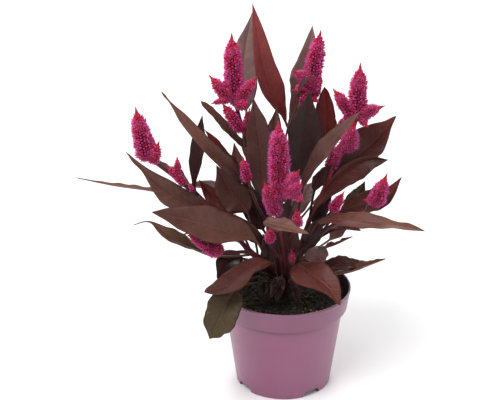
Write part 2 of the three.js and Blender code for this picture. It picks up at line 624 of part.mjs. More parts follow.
        faces: [0, -0.1, 1] },
    ],
    plumes: {
      low_right: {
        stalk: [[70, -22, 184], [75, -22, 187]],
        spikes: [
          { from: [76, -22, 181], to: [85, -24, 210], radius: 9 },
          { from: [74, -22, 184], to: [66, -26, 187], radius: 4.6 },
        ],
      },
    },
  },
  back_left: {
    radius: 2.4,
    stem: [[-8, 13, 72], [-8, 13, 90], [-12, 20, 116], [-16, 32, 152], [-19, 39, 174]],
    leaves: [
      { at: 130, path: [[-40, 44, 153], [-63, 62, 161], [-104, 78, 159]], width: 24,
        faces: [-0.2, 0.1, 1] },
      { at: 158, path: [[-33, 56, 194], [-27, 66, 220], [-22, 72, 236]], width: 18, faces: [0, -1, 0.2] },
      { at: 112, path: [[-40, 52, 130], [-64, 72, 124], [-98, 88, 115]], width: 25, faces: [-0.2, 0.3, 1] },
      { at: 104, path: [[-45, 40, 120], [-73, 56, 121], [-95, 66, 114]], width: 22, faces: [-0.2, 0.1, 1] },
    ],
    plumes: {
      back_left: {
        stalk: [[-20, 41, 184]],
        spikes: [
          { from: [-19, 40, 178], to: [-21, 44, 216], radius: 7.4 },
          { from: [-19, 41, 180], to: [-26, 54, 200], radius: 5 },
        ],
      },
    },
  },
  back_right: {
    radius: 2.4,
    stem: [[8, 15, 72], [8, 15, 90], [8, 22, 124], [15, 36, 161], [19, 43, 187]],
    leaves: [
      { at: 140, path: [[38, 52, 165], [62, 66, 184], [88, 76, 195]], width: 26, faces: [0.2, 0.1, 1] },
      { at: 170, path: [[36, 54, 204], [40, 62, 225], [38, 68, 242]], width: 18, faces: [0, -1, 0.2] },
      { at: 116, path: [[39, 52, 133], [64, 70, 129], [99, 84, 119]], width: 25, faces: [0.2, 0.3, 1] },
      { at: 106, path: [[43, 40, 120], [64, 54, 132], [92, 64, 130]], width: 22, faces: [0.2, 0.1, 1] },
    ],
    plumes: {
      back_right: {
        stalk: [[20, 45, 198]],
        spikes: [
          { from: [20, 44, 191], to: [19, 48, 234], radius: 7.6 },
          { from: [20, 45, 194], to: [28, 56, 212], radius: 5 },
        ],
      },
    },
  },
  back_middle: {
    radius: 2.2,
    stem: [[0, 16, 72], [0, 16, 90], [0, 26, 112], [-1, 42, 134], [-1, 52, 148]],
    leaves: [
      { at: 112, path: [[-12, 60, 136], [-17, 80, 143], [-19, 98, 146]], width: 23, faces: [0, -0.2, 1] },
      { at: 124, path: [[11, 60, 136], [21, 78, 149], [29, 94, 156]], width: 23, faces: [0, -0.2, 1] },
      { at: 100, path: [[2, 60, 119], [2, 84, 110], [1, 104, 95]], width: 26, faces: [0, 0.3, 1] },
    ],
    plumes: {
      back_middle: {
        stalk: [[-1, 57, 157]],
        spikes: [{ from: [-1, 54, 151], to: [-2, 62, 182], radius: 6.6 }],
      },
    },
  },
};

// ---- assembly -----------------------------------------------------------------------------------------

const plant = new THREE.Group();
const holes = [];
for (const [name, { radius, stem, leaves, plumes }] of Object.entries(SHOOTS)) {
  const line = curveThrough(stem);
  const radiusAt = (t) => radius * lerp(1, 0.6, t);
  const green = [tube(line, radiusAt)];
  for (const { at, ...blade } of leaves) green.push(leaf(pointAtHeight(line, at), blade));
  for (const [bloom, { at, stem: side, stalk, spikes }] of Object.entries(plumes)) {
    const carrier = side ? curveThrough([pointAtHeight(line, at).toArray(), ...side]) : line;
    const thin = radius * (side ? 0.45 : 0.6);
    if (side) green.push(tube(carrier, () => thin));
    plant.add(meshOf(`plume_${bloom}`, plume(carrier, thin, stalk, spikes), MAGENTA));
  }
  plant.add(meshOf(`shoot_${name}`, join(green), BRONZE_LEAF));
  holes.push(tube(line, (t) => radiusAt(t) + HOLE_GAP, 1));
}
plant.add(meshOf("soil", soil(holes), PEAT));
plant.add(meshOf("pot", pot(), LILAC_PLASTIC));

export default plant;
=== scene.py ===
"""A plume celosia in its nursery pot: the pot, its peat, the leafy bronze shoots and their magenta plumes.

The plant's points are in millimetres, +Z up, +X to the right, +Y to the back, from the centre of the
pot's underside. Every mesh is made in metres in the same frame.
"""

import math
import random
from collections import namedtuple

import bmesh
import bpy
from bpy.props import FloatProperty, FloatVectorProperty, IntProperty
from mathutils import Matrix, Vector, noise


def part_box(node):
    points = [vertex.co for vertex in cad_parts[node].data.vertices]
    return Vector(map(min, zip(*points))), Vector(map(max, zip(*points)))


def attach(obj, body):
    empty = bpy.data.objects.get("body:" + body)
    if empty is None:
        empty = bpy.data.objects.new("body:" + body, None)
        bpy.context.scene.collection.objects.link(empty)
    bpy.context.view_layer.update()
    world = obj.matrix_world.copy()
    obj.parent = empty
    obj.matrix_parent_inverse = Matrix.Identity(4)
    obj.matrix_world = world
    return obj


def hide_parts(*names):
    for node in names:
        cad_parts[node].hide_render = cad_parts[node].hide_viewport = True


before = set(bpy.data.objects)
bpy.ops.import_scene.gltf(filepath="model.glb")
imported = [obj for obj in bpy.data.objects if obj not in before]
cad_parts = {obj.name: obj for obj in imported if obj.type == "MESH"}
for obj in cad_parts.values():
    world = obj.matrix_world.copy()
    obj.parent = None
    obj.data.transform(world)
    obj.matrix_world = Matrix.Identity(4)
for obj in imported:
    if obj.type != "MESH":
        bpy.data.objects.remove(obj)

bl_info = {
    "name": "Potted Plume Celosia",
    "version": (1, 0, 0),
    "blender": (4, 5, 0),
    "location": "View3D > Sidebar > Celosia",
    "description": "Builds a plume celosia that grows in a round nursery pot",
    "category": "Add Mesh",
}

MM = 0.001
TURN = 2 * math.pi
POT_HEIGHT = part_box("pot")[1].z
RIM_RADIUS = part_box("pot")[1].y

# ---- the plant's points -------------------------------------------------------------------------------

# A leaf leaves its stem at a height. Its midrib passes through the points of its path, from the foot of
# the blade to the tip, and its upper side looks towards faces. tone names its colour, and end_tone the
# colour at its tip where that differs. An uneven blade has edges: how far it reaches to the left and to
# the right of the midrib, with the tip up, at shares of its length.
# A spike's florets are opened from 0, closed buds, to 1, stars.
Leaf = namedtuple("Leaf", "at width faces path tone end_tone widest fold wave edges")
Spike = namedtuple("Spike", "foot point radius opened", defaults=(0,))
Plume = namedtuple("Plume", "at side_stem stalk spikes rosy")
Shoot = namedtuple("Shoot", "radius stem leaves plumes")


def leaf(at, width, faces, path, tone, end_tone=None, widest=0.4, fold=22, wave=1.3, edges=()):
    return Leaf(at, width, faces, path, tone, end_tone or tone, widest, fold, wave, edges)


def plume(spikes, stalk, at=None, side_stem=(), rosy=0):
    return Plume(at, side_stem, stalk, [Spike(*spike) for spike in spikes], rosy)


SHOOTS = {
    "upper_left": Shoot(
        2.6,
        [(-4, 5, 72), (-4, 5, 90), (-6, 2, 118), (-15, -2, 163), (-26, -2, 191), (-32, 0, 209),
         (-34, 0, 226)],
        [
            leaf(218, 25, (0.1, -1, 0.1), [(-34, 22, 252), (-36, 32, 292), (-29, 34, 335)], "pale"),
            leaf(204, 9, (0.3, -0.8, 0.5), [(-33, 7, 219), (-46, 10, 233), (-60, 9, 250), (-73, 6, 265)],
                 "brown", "tan",
                 edges=[(0.2, 3, 3.5), (0.45, 4.2, 4.4), (0.62, 3.4, 3.8), (0.78, 3.8, 4), (0.92, 2.6, 2.4)]),
            leaf(172, 14, (0.1, -1, 0), [(-37, 4, 191), (-41, 10, 205), (-45, 12, 226)], "mauve"),
            leaf(124, 22, (0.1, -1, 0.1), [(-19, 0, 148), (-28, 5, 167), (-38, 7, 186)], "dark"),
            leaf(152, 27, (0.1, -1, 0), [(-20, -8, 183), (-21, -13, 218), (-25, -15, 250), (-28, -16, 275)],
                 "brown"),
            leaf(180, 12, (0.4, -0.6, 0.6), [(-37, -10, 197), (-51, -12, 218), (-69, -14, 246)], "maroon",
                 "red", edges=[(0.3, 4, 6), (0.6, 4, 6), (0.85, 2.4, 3.4)]),
            leaf(158, 13, (0.1, -0.9, 0.4),
                 [(-31, -14, 196), (-51, -26, 220), (-75, -36, 250), (-103, -38, 287)], "maroon", "tan",
                 edges=[(0.15, 5.5, 5.5), (0.33, 6.6, 6.4), (0.52, 6.5, 6.2), (0.67, 5.6, 5.2),
                  (0.8, 4.2, 4), (0.88, 1.6, 1.8), (0.93, 0.7, 0.7), (0.97, 1.2, 1.1)]),
        ],
        {
            "upper_left": plume(
                [
                    ((-44, 0, 266), (-46, 0, 325), 9.6),
                    ((-47, -2, 268), (-65, -6, 291), 7.2),
                    ((-50, -5, 270), (-63, -12, 268), 3.8),
                    ((-42, -2, 268), (-25, -8, 290), 6.8),
                    ((-40, 0, 264), (-34, -18, 270), 7.4),
                    ((-38, -1, 241), (-54, -8, 267), 6.4),
                    ((-35, -1, 238), (-31, -6, 262), 4.8),
                    ((-42, 3, 262), (-46, 20, 279), 6),
                ],
                [(-36, 0, 237), (-41, 0, 257), (-45, 0, 271)],
            ),
            "inner_left": plume(
                [((-33, -30, 206), (-37, -34, 229), 5.4)],
                [(-32, -30, 208)], 146, [(-24, -14, 176), (-30, -27, 197)],
            ),
        },
    ),
    "upper_right": Shoot(
        2.8,
        [(4, 8, 72), (4, 8, 90), (3, 8, 118), (3, 8, 149), (6, 12, 190), (12, 16, 226), (19, 18, 248)],
        [
            leaf(214, 28, (0.35, -1, 0.1), [(0, 16, 243), (-8, 15, 260), (-19, 12, 294), (-29, 8, 349)],
                 "red", "wine",
                 edges=[(0.15, 2, 5), (0.33, 5.5, 9), (0.5, 10.5, 11.5), (0.67, 10, 10.5), (0.83, 6, 6.5),
                  (0.95, 1.8, 2)]),
            leaf(206, 33, (0, -1, 0.1), [(5, 28, 237), (15, 40, 260), (19, 44, 283), (23, 41, 322)],
                 "brown", "pale",
                 edges=[(0.33, 12, 13), (0.52, 15, 15.5), (0.67, 13, 13), (0.85, 6.5, 7), (0.95, 2.2, 2.4)]),
            leaf(178, 16, (0.1, -1, 0), [(-7, 12, 209), (-10, 6, 236), (-8, 2, 262)], "tan", "mauve"),
            leaf(170, 30, (0, -1, 0.1), [(11, -6, 197), (14, -14, 230), (17, -15, 255), (19, -12, 279)],
                 "dark",
                 edges=[(0.15, 9, 11), (0.33, 14, 16), (0.55, 15.5, 15), (0.67, 14.5, 12), (0.85, 6.5, 5),
                  (0.94, 2.5, 2)]),
            leaf(192, 9, (-1, -0.35, 0.2), [(0, 4, 232), (8, -2, 263), (13, -4, 281), (23, -4, 293)],
                 "brown"),
            leaf(184, 27, (-0.4, -0.9, 0), [(27, 14, 208), (35, 17, 235), (33, 18, 274)], "red",
                 edges=[(0.2, 7, 7), (0.5, 9.5, 9.5), (0.75, 9, 10), (0.9, 4.5, 7), (0.96, 2, 4.5)]),
        ],
        {
            "upper_right": plume(
                [
                    ((20, 19, 268), (29, 22, 322), 9),
                    ((22, 17, 278), (5, 8, 291), 8, 1),
                    ((19, 17, 273), (5, 6, 274), 6.4, 1),
                    ((20, 17, 274), (11, 5, 259), 4.6),
                    ((22, 18, 265), (28, 10, 262), 4.4),
                    ((24, 21, 264), (31, 32, 283), 5.6),
                ],
                [(21, 20, 261), (23, 20, 270)],
            ),
        },
    ),
    "right": Shoot(
        2.4,
        [(10, 2, 72), (10, 2, 90), (12, 2, 118), (20, 0, 152), (26, 0, 170), (31, 0, 181)],
        [
            leaf(166, 36, (-0.5, -0.9, 0.3), [(43, 6, 200), (58, 11, 210), (76, 21, 221), (97, 24, 246)],
                 "dark", "red_brown", widest=0.55,
                 edges=[(0.15, 8, 9), (0.33, 13, 14), (0.55, 17, 16), (0.7, 17.5, 14), (0.8, 12.5, 10),
                  (0.9, 5, 4.5), (0.96, 2.2, 2)]),
            leaf(146, 32, (0.1, -1, 0.2), [(27, -4, 171), (47, -8, 202), (68, -12, 217), (87, -14, 219)],
                 "red_brown", "maroon", fold=34,
                 edges=[(0.2, 6, 8), (0.33, 7, 12), (0.5, 7.5, 14), (0.67, 6, 12), (0.85, 3, 6)]),
            leaf(140, 13, (0, -0.9, 0.4), [(54, 10, 172), (65, 18, 174), (72, 24, 185)], "olive"),
            leaf(130, 15, (0.2, -1, 0.2), [(25, 2, 153), (33, 2, 170), (41, 0, 181)], "dark"),
            leaf(156, 13, (0.2, -1, 0.2), [(25, -8, 188), (30, -10, 203), (40, -12, 215)], "maroon"),
        ],
        {
            "right": plume(
                [
                    ((60, 5, 248), (62, 6, 298), 9.2),
                    ((57, 4, 252), (39, -2, 278), 7),
                    ((55, 3, 252), (42, -4, 246), 3.6),
                    ((63, 4, 254), (83, -2, 263), 8.4, 1),
                    ((64, 3, 250), (69, -8, 246), 5.4, 1),
                    ((53, 1, 223), (57, -7, 251), 9.8, 1),
                    ((38, -1, 206), (47, -4, 232), 6.6, 1),
                    ((60, 8, 248), (66, 24, 260), 6),
                ],
                [(37, 0, 196), (42, 1, 208), (53, 3, 225), (58, 5, 239), (61, 5, 252)],
                rosy=1,
            ),
            "inner_right": plume(
                [((40, -15, 172), (50, -17, 191), 6)],
                [(42, -15, 171)], 122, [(22, -3, 141), (33, -10, 156), (38, -14, 163)],
            ),
        },
    ),
    "front": Shoot(
        2.6,
        [(0, -9, 72), (0, -9, 90), (0, -13, 108), (0, -20, 126), (-3, -30, 147), (-6, -40, 170)],
        [
            leaf(160, 14, (0.1, -0.6, 0.8), [(-19, -55, 179), (-6, -62, 179), (18, -70, 175)], "mauve",
                 "tan",
                 edges=[(0.12, 5, 4), (0.3, 6, 7), (0.5, 6.5, 7), (0.66, 7.5, 6), (0.8, 3.2, 4.5),
                  (0.92, 1.5, 2)]),
            leaf(152, 16, (-0.5, -0.7, 0.5),
                 [(12, -34, 202), (28, -41, 234), (44, -45, 256), (59, -46, 273)], "brown", "mauve"),
            leaf(104, 36, (0.25, -0.8, 0.55),
                 [(10, -30, 128), (21, -50, 129), (34, -64, 124), (45, -74, 111)], "red_brown",
                 edges=[(0.17, 8, 13), (0.31, 11.5, 19.5), (0.42, 14, 19.5), (0.53, 14.5, 15.5),
                  (0.68, 12, 9.5), (0.83, 7, 4.6), (0.95, 2.5, 2)]),
            leaf(100, 11, (-0.3, -0.5, 0.8), [(-5, -22, 112), (-9, -33, 108), (-13, -42, 101)], "withered"),
            leaf(112, 20, (0.1, -0.9, 0.3), [(4, -19, 123), (2, -19, 146), (1, -22, 185)], "brown", "dark",
                 edges=[(0.2, 8, 8), (0.45, 12, 11), (0.7, 15.5, 9), (0.85, 11, 6.5), (0.95, 5, 3.5)]),
        ],
        {
            "front": plume(
                [
                    ((-6, -47, 198), (-8, -50, 265), 9.8, 0.5),
                    ((-9, -44, 182), (-19, -55, 214), 7.4, 0.5),
                    ((-2, -48, 203), (9, -60, 227), 9, 1),
                    ((-1, -50, 203), (11, -68, 218), 6.4, 1),
                    ((0, -50, 207), (13, -68, 203), 5.6, 1),
                    ((-6, -44, 196), (-8, -28, 214), 6),
                ],
                [(-5, -44, 185), (-6, -46, 199)],
            ),
            "low_front": plume(
                [((-14, -37, 153), (-13, -41, 169), 5.8)],
                [(-14, -38, 157)], 116, [(-6, -26, 134), (-13, -34, 148)],
            ),
            "bud": plume(
                [((9, -46, 171), (8, -50, 189), 6)],
                [(9, -47, 175)], 130, [(2, -32, 152), (7, -42, 165)],
            ),
            "crown": plume(
                [((6, -26, 130), (5, -28, 141), 3.2)],
                [(6, -26, 134)], 98, [(5, -20, 116), (6, -24, 127)],
            ),
        },
    ),
    "left": Shoot(
        2.5,
        [(-10, 0, 72), (-10, 0, 90), (-13, 0, 106), (-24, -6, 122), (-40, -10, 142), (-55, -14, 163),
         (-68, -18, 180), (-75, -20, 189)],
        [
            leaf(134, 25, (-0.2, -0.9, 0.4),
                 [(-52, -8, 163), (-79, -12, 176), (-105, -14, 193), (-137, -12, 226)], "brown", "tan",
                 widest=0.35,
                 edges=[(0.2, 8, 8), (0.4, 11, 10), (0.58, 12, 11), (0.68, 9.5, 10.5), (0.76, 5.5, 7),
                  (0.84, 2.2, 3.8), (0.92, 2.2, 1.6), (0.97, 0.8, 0.8)]),
            leaf(112, 15, (-0.2, -0.9, 0.4), [(-20, -16, 141), (-37, -20, 160), (-53, -22, 175)], "dark",
                 "brown"),
            leaf(170, 13, (0.3, -0.3, 0.9), [(-81, -6, 190), (-100, -2, 204), (-119, 0, 214)], "tan"),
            leaf(176, 18, (-0.5, -0.9, 0), [(-78, -7, 187), (-77, -6, 210), (-74, -6, 232), (-71, -4, 256)],
                 "maroon",
                 edges=[(0.18, 3.5, 3), (0.4, 7, 6.5), (0.58, 7.5, 9), (0.72, 6, 7.5), (0.87, 3, 4)]),
            leaf(160, 8, (0, 0, 1), [(-85, 8, 175), (-119, 14, 180), (-151, 18, 183), (-186, 22, 189)],
                 "tan", wave=0.4),
            leaf(128, 16, (0, -1, 0.2), [(-48, 0, 165), (-63, 8, 176), (-76, 12, 191)], "red"),
            leaf(120, 30, (-0.1, -0.95, 0.3), [(-33, -6, 167), (-47, -4, 185), (-60, 0, 209)], "brown"),
        ],
        {
            "left": plume(
                [
                    ((-117, -27, 224), (-125, -28, 270), 9.4),
                    ((-113, -28, 222), (-106, -33, 242), 7),
                    ((-92, -23, 206), (-92, -24, 225), 4),
                    ((-87, -22, 200), (-100, -28, 218), 4.2),
                    ((-80, -21, 194), (-83, -24, 201), 2.8),
                    ((-112, -24, 222), (-116, -12, 244), 6),
                ],
                [(-87, -22, 199), (-98, -24, 210), (-109, -26, 220), (-115, -27, 227)],
            ),
        },
    ),
    "low_left": Shoot(
        2.3,
        [(-7, -7, 72), (-7, -7, 90), (-10, -11, 112), (-20, -18, 128), (-35, -28, 139), (-46, -36, 142),
         (-52, -40, 144)],
        [
            leaf(122, 34, (0, -0.8, 0.6),
                 [(-26, -26, 149), (-43, -40, 161), (-72, -56, 178), (-112, -62, 191)], "tan", "brown",
                 widest=0.55,
                 edges=[(0.15, 3, 9), (0.33, 7, 14), (0.6, 16, 16.5), (0.8, 11.5, 11.5), (0.9, 5, 7),
                  (0.96, 2, 2.6)]),
            leaf(134, 19, (-0.4, -0.3, 0.85),
                 [(-57, -24, 133), (-81, -34, 146), (-101, -38, 160), (-117, -38, 172), (-130, -38, 169)],
                 "olive", "tan", widest=0.33,
                 edges=[(0.15, 6, 6), (0.3, 8.5, 9), (0.5, 7, 6.5), (0.65, 3.2, 2.6), (0.76, 0.9, 0.9),
                  (0.9, 0.45, 0.45)]),
            leaf(116, 27, (-0.3, -0.75, 0.6), [(-37, -12, 125), (-50, -24, 126), (-59, -34, 115)], "maroon",
                 edges=[(0.15, 9, 8), (0.4, 15, 12), (0.65, 13, 9), (0.85, 6, 4), (0.95, 2.5, 2)]),
            leaf(108, 35, (-0.2, -0.55, 0.8),
                 [(-12, -24, 127), (-32, -44, 130), (-50, -66, 126), (-69, -77, 125)], "red_brown", "brown",
                 widest=0.5,
                 edges=[(0.15, 6, 7), (0.33, 10, 9.5), (0.6, 14, 10), (0.75, 12.5, 8.5), (0.88, 8.5, 5),
                  (0.96, 4, 2.5)]),
            leaf(102, 30, (-0.2, -0.95, 0.3),
                 [(-41, -53, 117), (-50, -66, 109), (-57, -74, 97), (-65, -76, 80)], "olive", widest=0.6,
                 wave=2.2,
                 edges=[(0.15, 10, 9), (0.33, 14, 14), (0.55, 16, 15), (0.72, 14.5, 13), (0.8, 10.5, 10),
                  (0.87, 9, 6.5), (0.95, 2.5, 2.5)]),
            leaf(118, 19, (0.1, -0.9, 0.3), [(-13, -18, 125), (-14, -20, 139), (-20, -22, 154)], "dark"),
            leaf(100, 15, (-0.2, -0.4, 0.9), [(-18, -20, 114), (-28, -28, 116), (-40, -34, 110)], "dark"),
        ],
        {
            "low_left": plume([((-56, -41, 145), (-85, -52, 171), 8.4, 0.5)], [(-57, -43, 147)]),
        },
    ),
    "low_right": Shoot(
        2.3,
        [(8, -6, 72), (8, -6, 90), (9, -9, 108), (14, -14, 130), (34, -18, 155), (54, -20, 168),
         (63, -22, 172), (67, -22, 177)],
        [
            leaf(134, 32, (0, -0.35, 0.93),
                 [(28, -22, 164), (49, -39, 174), (79, -53, 177), (115, -58, 172)], "red_brown", "tan",
                 edges=[(0.15, 6, 10), (0.33, 8, 15.5), (0.5, 8, 15.5), (0.67, 6.5, 12.5), (0.8, 4, 7),
                  (0.87, 4.4, 5), (0.95, 2, 2)]),
            leaf(150, 23, (-0.3, -0.7, 0.65), [(49, 2, 164), (71, 2, 172), (88, -1, 179), (101, -2, 199)],
                 "red_brown"),
            leaf(126, 22, (0, 0.1, 1), [(29, -2, 140), (46, -10, 153), (66, -18, 155)], "maroon", "red",
                 edges=[(0.15, 8, 4), (0.4, 9, 5), (0.7, 7, 4.5), (0.9, 3, 2)]),
            leaf(112, 9, (0, 0.1, 1), [(32, 6, 126), (45, 4, 132), (61, 0, 142)], "red"),
            leaf(118, 21, (0, -0.15, 1), [(28, -6, 134), (27, -26, 133), (24, -35, 129)], "mauve",
                 edges=[(0.15, 6, 6), (0.4, 10.5, 10), (0.65, 11, 11), (0.85, 7.5, 8), (0.95, 3.5, 3.5)]),
            leaf(104, 17, (0, -0.55, 0.8), [(32, -6, 114), (53, -16, 121), (72, -20, 123)], "brown",
                 edges=[(0.1, 6, 6), (0.3, 8, 8), (0.5, 8, 7.5), (0.75, 5, 4.5), (0.9, 2.2, 2)]),
            leaf(122, 18, (0.2, -0.9, 0.3), [(18, -18, 138), (24, -18, 154), (33, -16, 168)], "dark"),
            leaf(99, 15, (0, -0.1, 1), [(40, -12, 109), (58, -22, 118), (73, -28, 127), (87, -30, 134)],
                 "tan"),
        ],
        {
            "low_right": plume([
                    ((76, -22, 181), (85, -24, 210), 9, 0.5),
                    ((74, -22, 184), (66, -26, 187), 4.6),
                ], [(70, -22, 184), (75, -22, 187)]),
        },
    ),
    "back_left": Shoot(
        2.4,
        [(-8, 13, 72), (-8, 13, 90), (-12, 20, 116), (-16, 32, 152), (-19, 39, 174)],
        [
            leaf(130, 24, (-0.2, 0.1, 1), [(-40, 44, 153), (-63, 62, 161), (-104, 78, 159)], "brown"),
            leaf(158, 18, (0, -1, 0.2), [(-33, 56, 194), (-27, 66, 220), (-22, 72, 236)], "red_brown"),
            leaf(112, 25, (-0.2, 0.3, 1), [(-40, 52, 130), (-64, 72, 124), (-98, 88, 115)], "mauve"),
            leaf(104, 22, (-0.2, 0.1, 1), [(-45, 40, 120), (-73, 56, 121), (-95, 66, 114)], "olive"),
        ],
        {
            "back_left": plume(
                [((-19, 40, 178), (-21, 44, 216), 7.4), ((-19, 41, 180), (-26, 54, 200), 5)],
                [(-20, 41, 184)],
            ),
        },
    ),
    "back_right": Shoot(
        2.4,
        [(8, 15, 72), (8, 15, 90), (8, 22, 124), (15, 36, 161), (19, 43, 187)],
        [
            leaf(140, 26, (0.2, 0.1, 1), [(38, 52, 165), (62, 66, 184), (88, 76, 195)], "tan"),
            leaf(170, 18, (0, -1, 0.2), [(36, 54, 204), (40, 62, 225), (38, 68, 242)], "brown"),
            leaf(116, 25, (0.2, 0.3, 1), [(39, 52, 133), (64, 70, 129), (99, 84, 119)], "red_brown"),
            leaf(106, 22, (0.2, 0.1, 1), [(43, 40, 120), (64, 54, 132), (92, 64, 130)], "mauve"),
        ],
        {
            "back_right": plume(
                [((20, 44, 191), (19, 48, 234), 7.6), ((20, 45, 194), (28, 56, 212), 5)],
                [(20, 45, 198)],
            ),
        },
    ),
    "back_middle": Shoot(
        2.2,
        [(0, 16, 72), (0, 16, 90), (0, 26, 112), (-1, 42, 134), (-1, 52, 148)],
        [
            leaf(112, 23, (0, -0.2, 1), [(-12, 60, 136), (-17, 80, 143), (-19, 98, 146)], "brown"),
            leaf(124, 23, (0, -0.2, 1), [(11, 60, 136), (21, 78, 149), (29, 94, 156)], "mauve"),
            leaf(100, 26, (0, 0.3, 1), [(2, 60, 119), (2, 84, 110), (1, 104, 95)], "olive"),
        ],
        {
            "back_middle": plume([((-1, 54, 151), (-2, 62, 182), 6.6)], [(-1, 57, 157)]),
        },
    ),
}


def withered(at, width, path):
    return leaf(at, width, (0, -0.4, 0.9), path, "withered", fold=38, wave=2.8)


# Crumpled, nearly black leaves that hang round the crown, low on some of the shoots.
WITHERED = {
    "low_left": [
        withered(112, 13, [(-20, -22, 119), (-29, -28, 110), (-35, -33, 98)]),
        withered(106, 14, [(-17, -17, 120), (-27, -21, 116), (-36, -25, 106)]),
        withered(98, 13, [(-13, -25, 110), (-17, -32, 101), (-16, -38, 93)]),
    ],
    "front": [
        withered(108, 12, [(-3, -28, 115), (-5, -35, 106), (-8, -41, 96)]),
        withered(104, 13, [(4, -28, 114), (9, -35, 105), (12, -41, 94)]),
        withered(100, 13, [(-8, -24, 112), (-13, -32, 104), (-18, -38, 93)]),
    ],
    "low_right": [
        withered(112, 13, [(9, -22, 115), (8, -29, 107), (3, -35, 97)]),
        withered(106, 12, [(11, -20, 120), (15, -27, 112), (18, -33, 100)]),
    ],
}

# Colours of the upper side, the lower side and the veins of a leaf, by tone.
TONES = {
    "withered": ("24120f", "20100e", "331d18"),
    "dark": ("2e1c19", "3a1719", "3d211e"),
    "brown": ("4a2c27", "4a201f", "603630"),
    "tan": ("6b473c", "5a2b28", "7c5345"),
    "mauve": ("634743", "4c2829", "744d46"),
    "pale": ("846b66", "5a3434", "947570"),
    "olive": ("463a27", "3f221f", "5a4630"),
    "red_brown": ("592a24", "4c1d1d", "7b4239"),
    "red": ("5e1b1b", "5a1418", "702826"),
    "wine": ("863a3a", "7a1c20", "964644"),
    "maroon": ("2c1112", "3b1013", "401817"),
}

# ---- settings -----------------------------------------------------------------------------------------


def length_setting(name, description, default):
    return FloatProperty(name=name, description=description, default=default, unit="LENGTH")


def count_setting(name, description, default):
    return IntProperty(name=name, description=description, default=default, min=0)


def colour_setting(name, description, code):
    return FloatVectorProperty(
        name=name, description=description, subtype="COLOR", size=4, min=0, max=1, default=colour(code)
    )


# ---- geometry -----------------------------------------------------------------------------------------

FORWARD = Vector((0.25, -1, 0.1))  # the way that sections of stems and spikes start from


def lerp(a, b, t):
    return a + (b - a) * t


def ease(low, high, x):
    """0 below low, 1 above high, and smooth between."""
    t = min(1.0, max(0.0, (x - low) / (high - low)))
    return t * t * (3 - 2 * t)


def colour(code):
    """Linear red, green, blue and alpha of a hexadecimal sRGB colour."""
    parts = [int(code[i : i + 2], 16) / 255 for i in (0, 2, 4)]
    linear = [c / 12.92 if c <= 0.04045 else ((c + 0.055) / 1.055) ** 2.4 for c in parts]
    return Vector((*linear, 1.0))


class Curve:
    """A smooth line through points given in millimetres, with parameter 0 to 1 and places in metres."""

    def __init__(self, points):
        self.points = [Vector(p) * MM for p in points]

    def point(self, t):
        points = self.points
        spans = len(points) - 1
        i = min(int(t * spans), spans - 1)
        w = t * spans - i
        b, c = points[i], points[i + 1]
        a = points[i - 1] if i > 0 else 2 * b - c
        d = points[i + 2] if i + 2 <= spans else 2 * c - b
        before, here, after = ((q - p).length ** 0.5 for p, q in ((a, b), (b, c), (c, d)))
        leave = ((b - a) / before - (c - a) / (before + here) + (c - b) / here) * here
        arrive = ((c - b) / here - (d - b) / (here + after) + (d - c) / after) * here
        return (
            b * (2 * w**3 - 3 * w**2 + 1)
            + leave * (w**3 - 2 * w**2 + w)
            + c * (3 * w**2 - 2 * w**3)
            + arrive * (w**3 - w**2)
        )

    def along(self, t):
        step = 1e-4
        return (self.point(min(1, t + step)) - self.point(max(0, t - step))).normalized()

    def frame(self, t, facing):
        """The place at t with the directions along the line, out towards facing, and sideways."""
        along = self.along(t)
        out = (facing - along * facing.dot(along)).normalized()
        return self.point(t), along, out, out.cross(along)

    def at_height(self, height):
        """The parameter where the line reaches a height in millimetres."""
        low, high = 0.0, 1.0
        for _ in range(24):
            middle = (low + high) / 2
            if self.point(middle).z < height * MM:
                low = middle
            else:
                high = middle
        return low

    def length(self):
        steps = 24
        places = [self.point(i / steps) for i in range(steps + 1)]
        return sum((b - a).length for a, b in zip(places, places[1:]))


def closed_skin(bm, around, rows, place, material=0):
    """A closed skin: a grid whose columns run round a section and whose rows run from end to end.

    place(vert, column, row) gives a corner's position, and fills in the corner's own values.
    """
    made = bmesh.ops.create_grid(bm, x_segments=around, y_segments=rows, size=0.5)["verts"]
    for vert in made:
        column = round((vert.co.x + 0.5) * around)
        row = round((vert.co.y + 0.5) * rows)
        vert.co = place(vert, column, row)
    faces = {face for vert in made for face in vert.link_faces}
    for face in faces:
        face.material_index = material
        face.smooth = True
    bmesh.ops.remove_doubles(bm, verts=made, dist=1e-6)
    bmesh.ops.recalc_face_normals(bm, faces=[face for face in faces if face.is_valid])


def as_mesh(name, bm):
    mesh = bpy.data.meshes.new(name)
    bm.to_mesh(mesh)
    bm.free()
    return mesh


def as_object(name, bm, materials=()):
    """Turns the mesh into an object of the scene."""
    mesh = as_mesh(name, bm)
    for material in materials:
        mesh.materials.append(material)
    made = bpy.data.objects.new(name, mesh)
    bpy.context.scene.collection.objects.link(made)
    return made


def finish_piece(name, bm, node, materials):
    """Turns the mesh into a piece with the given materials in its slots, attaches it to the root body and
    hides the node's own part.
    """
    piece = as_object(name, bm, materials)
    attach(piece, "root")
    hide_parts(node)
    return piece


# ---- material helpers ---------------------------------------------------------------------------------


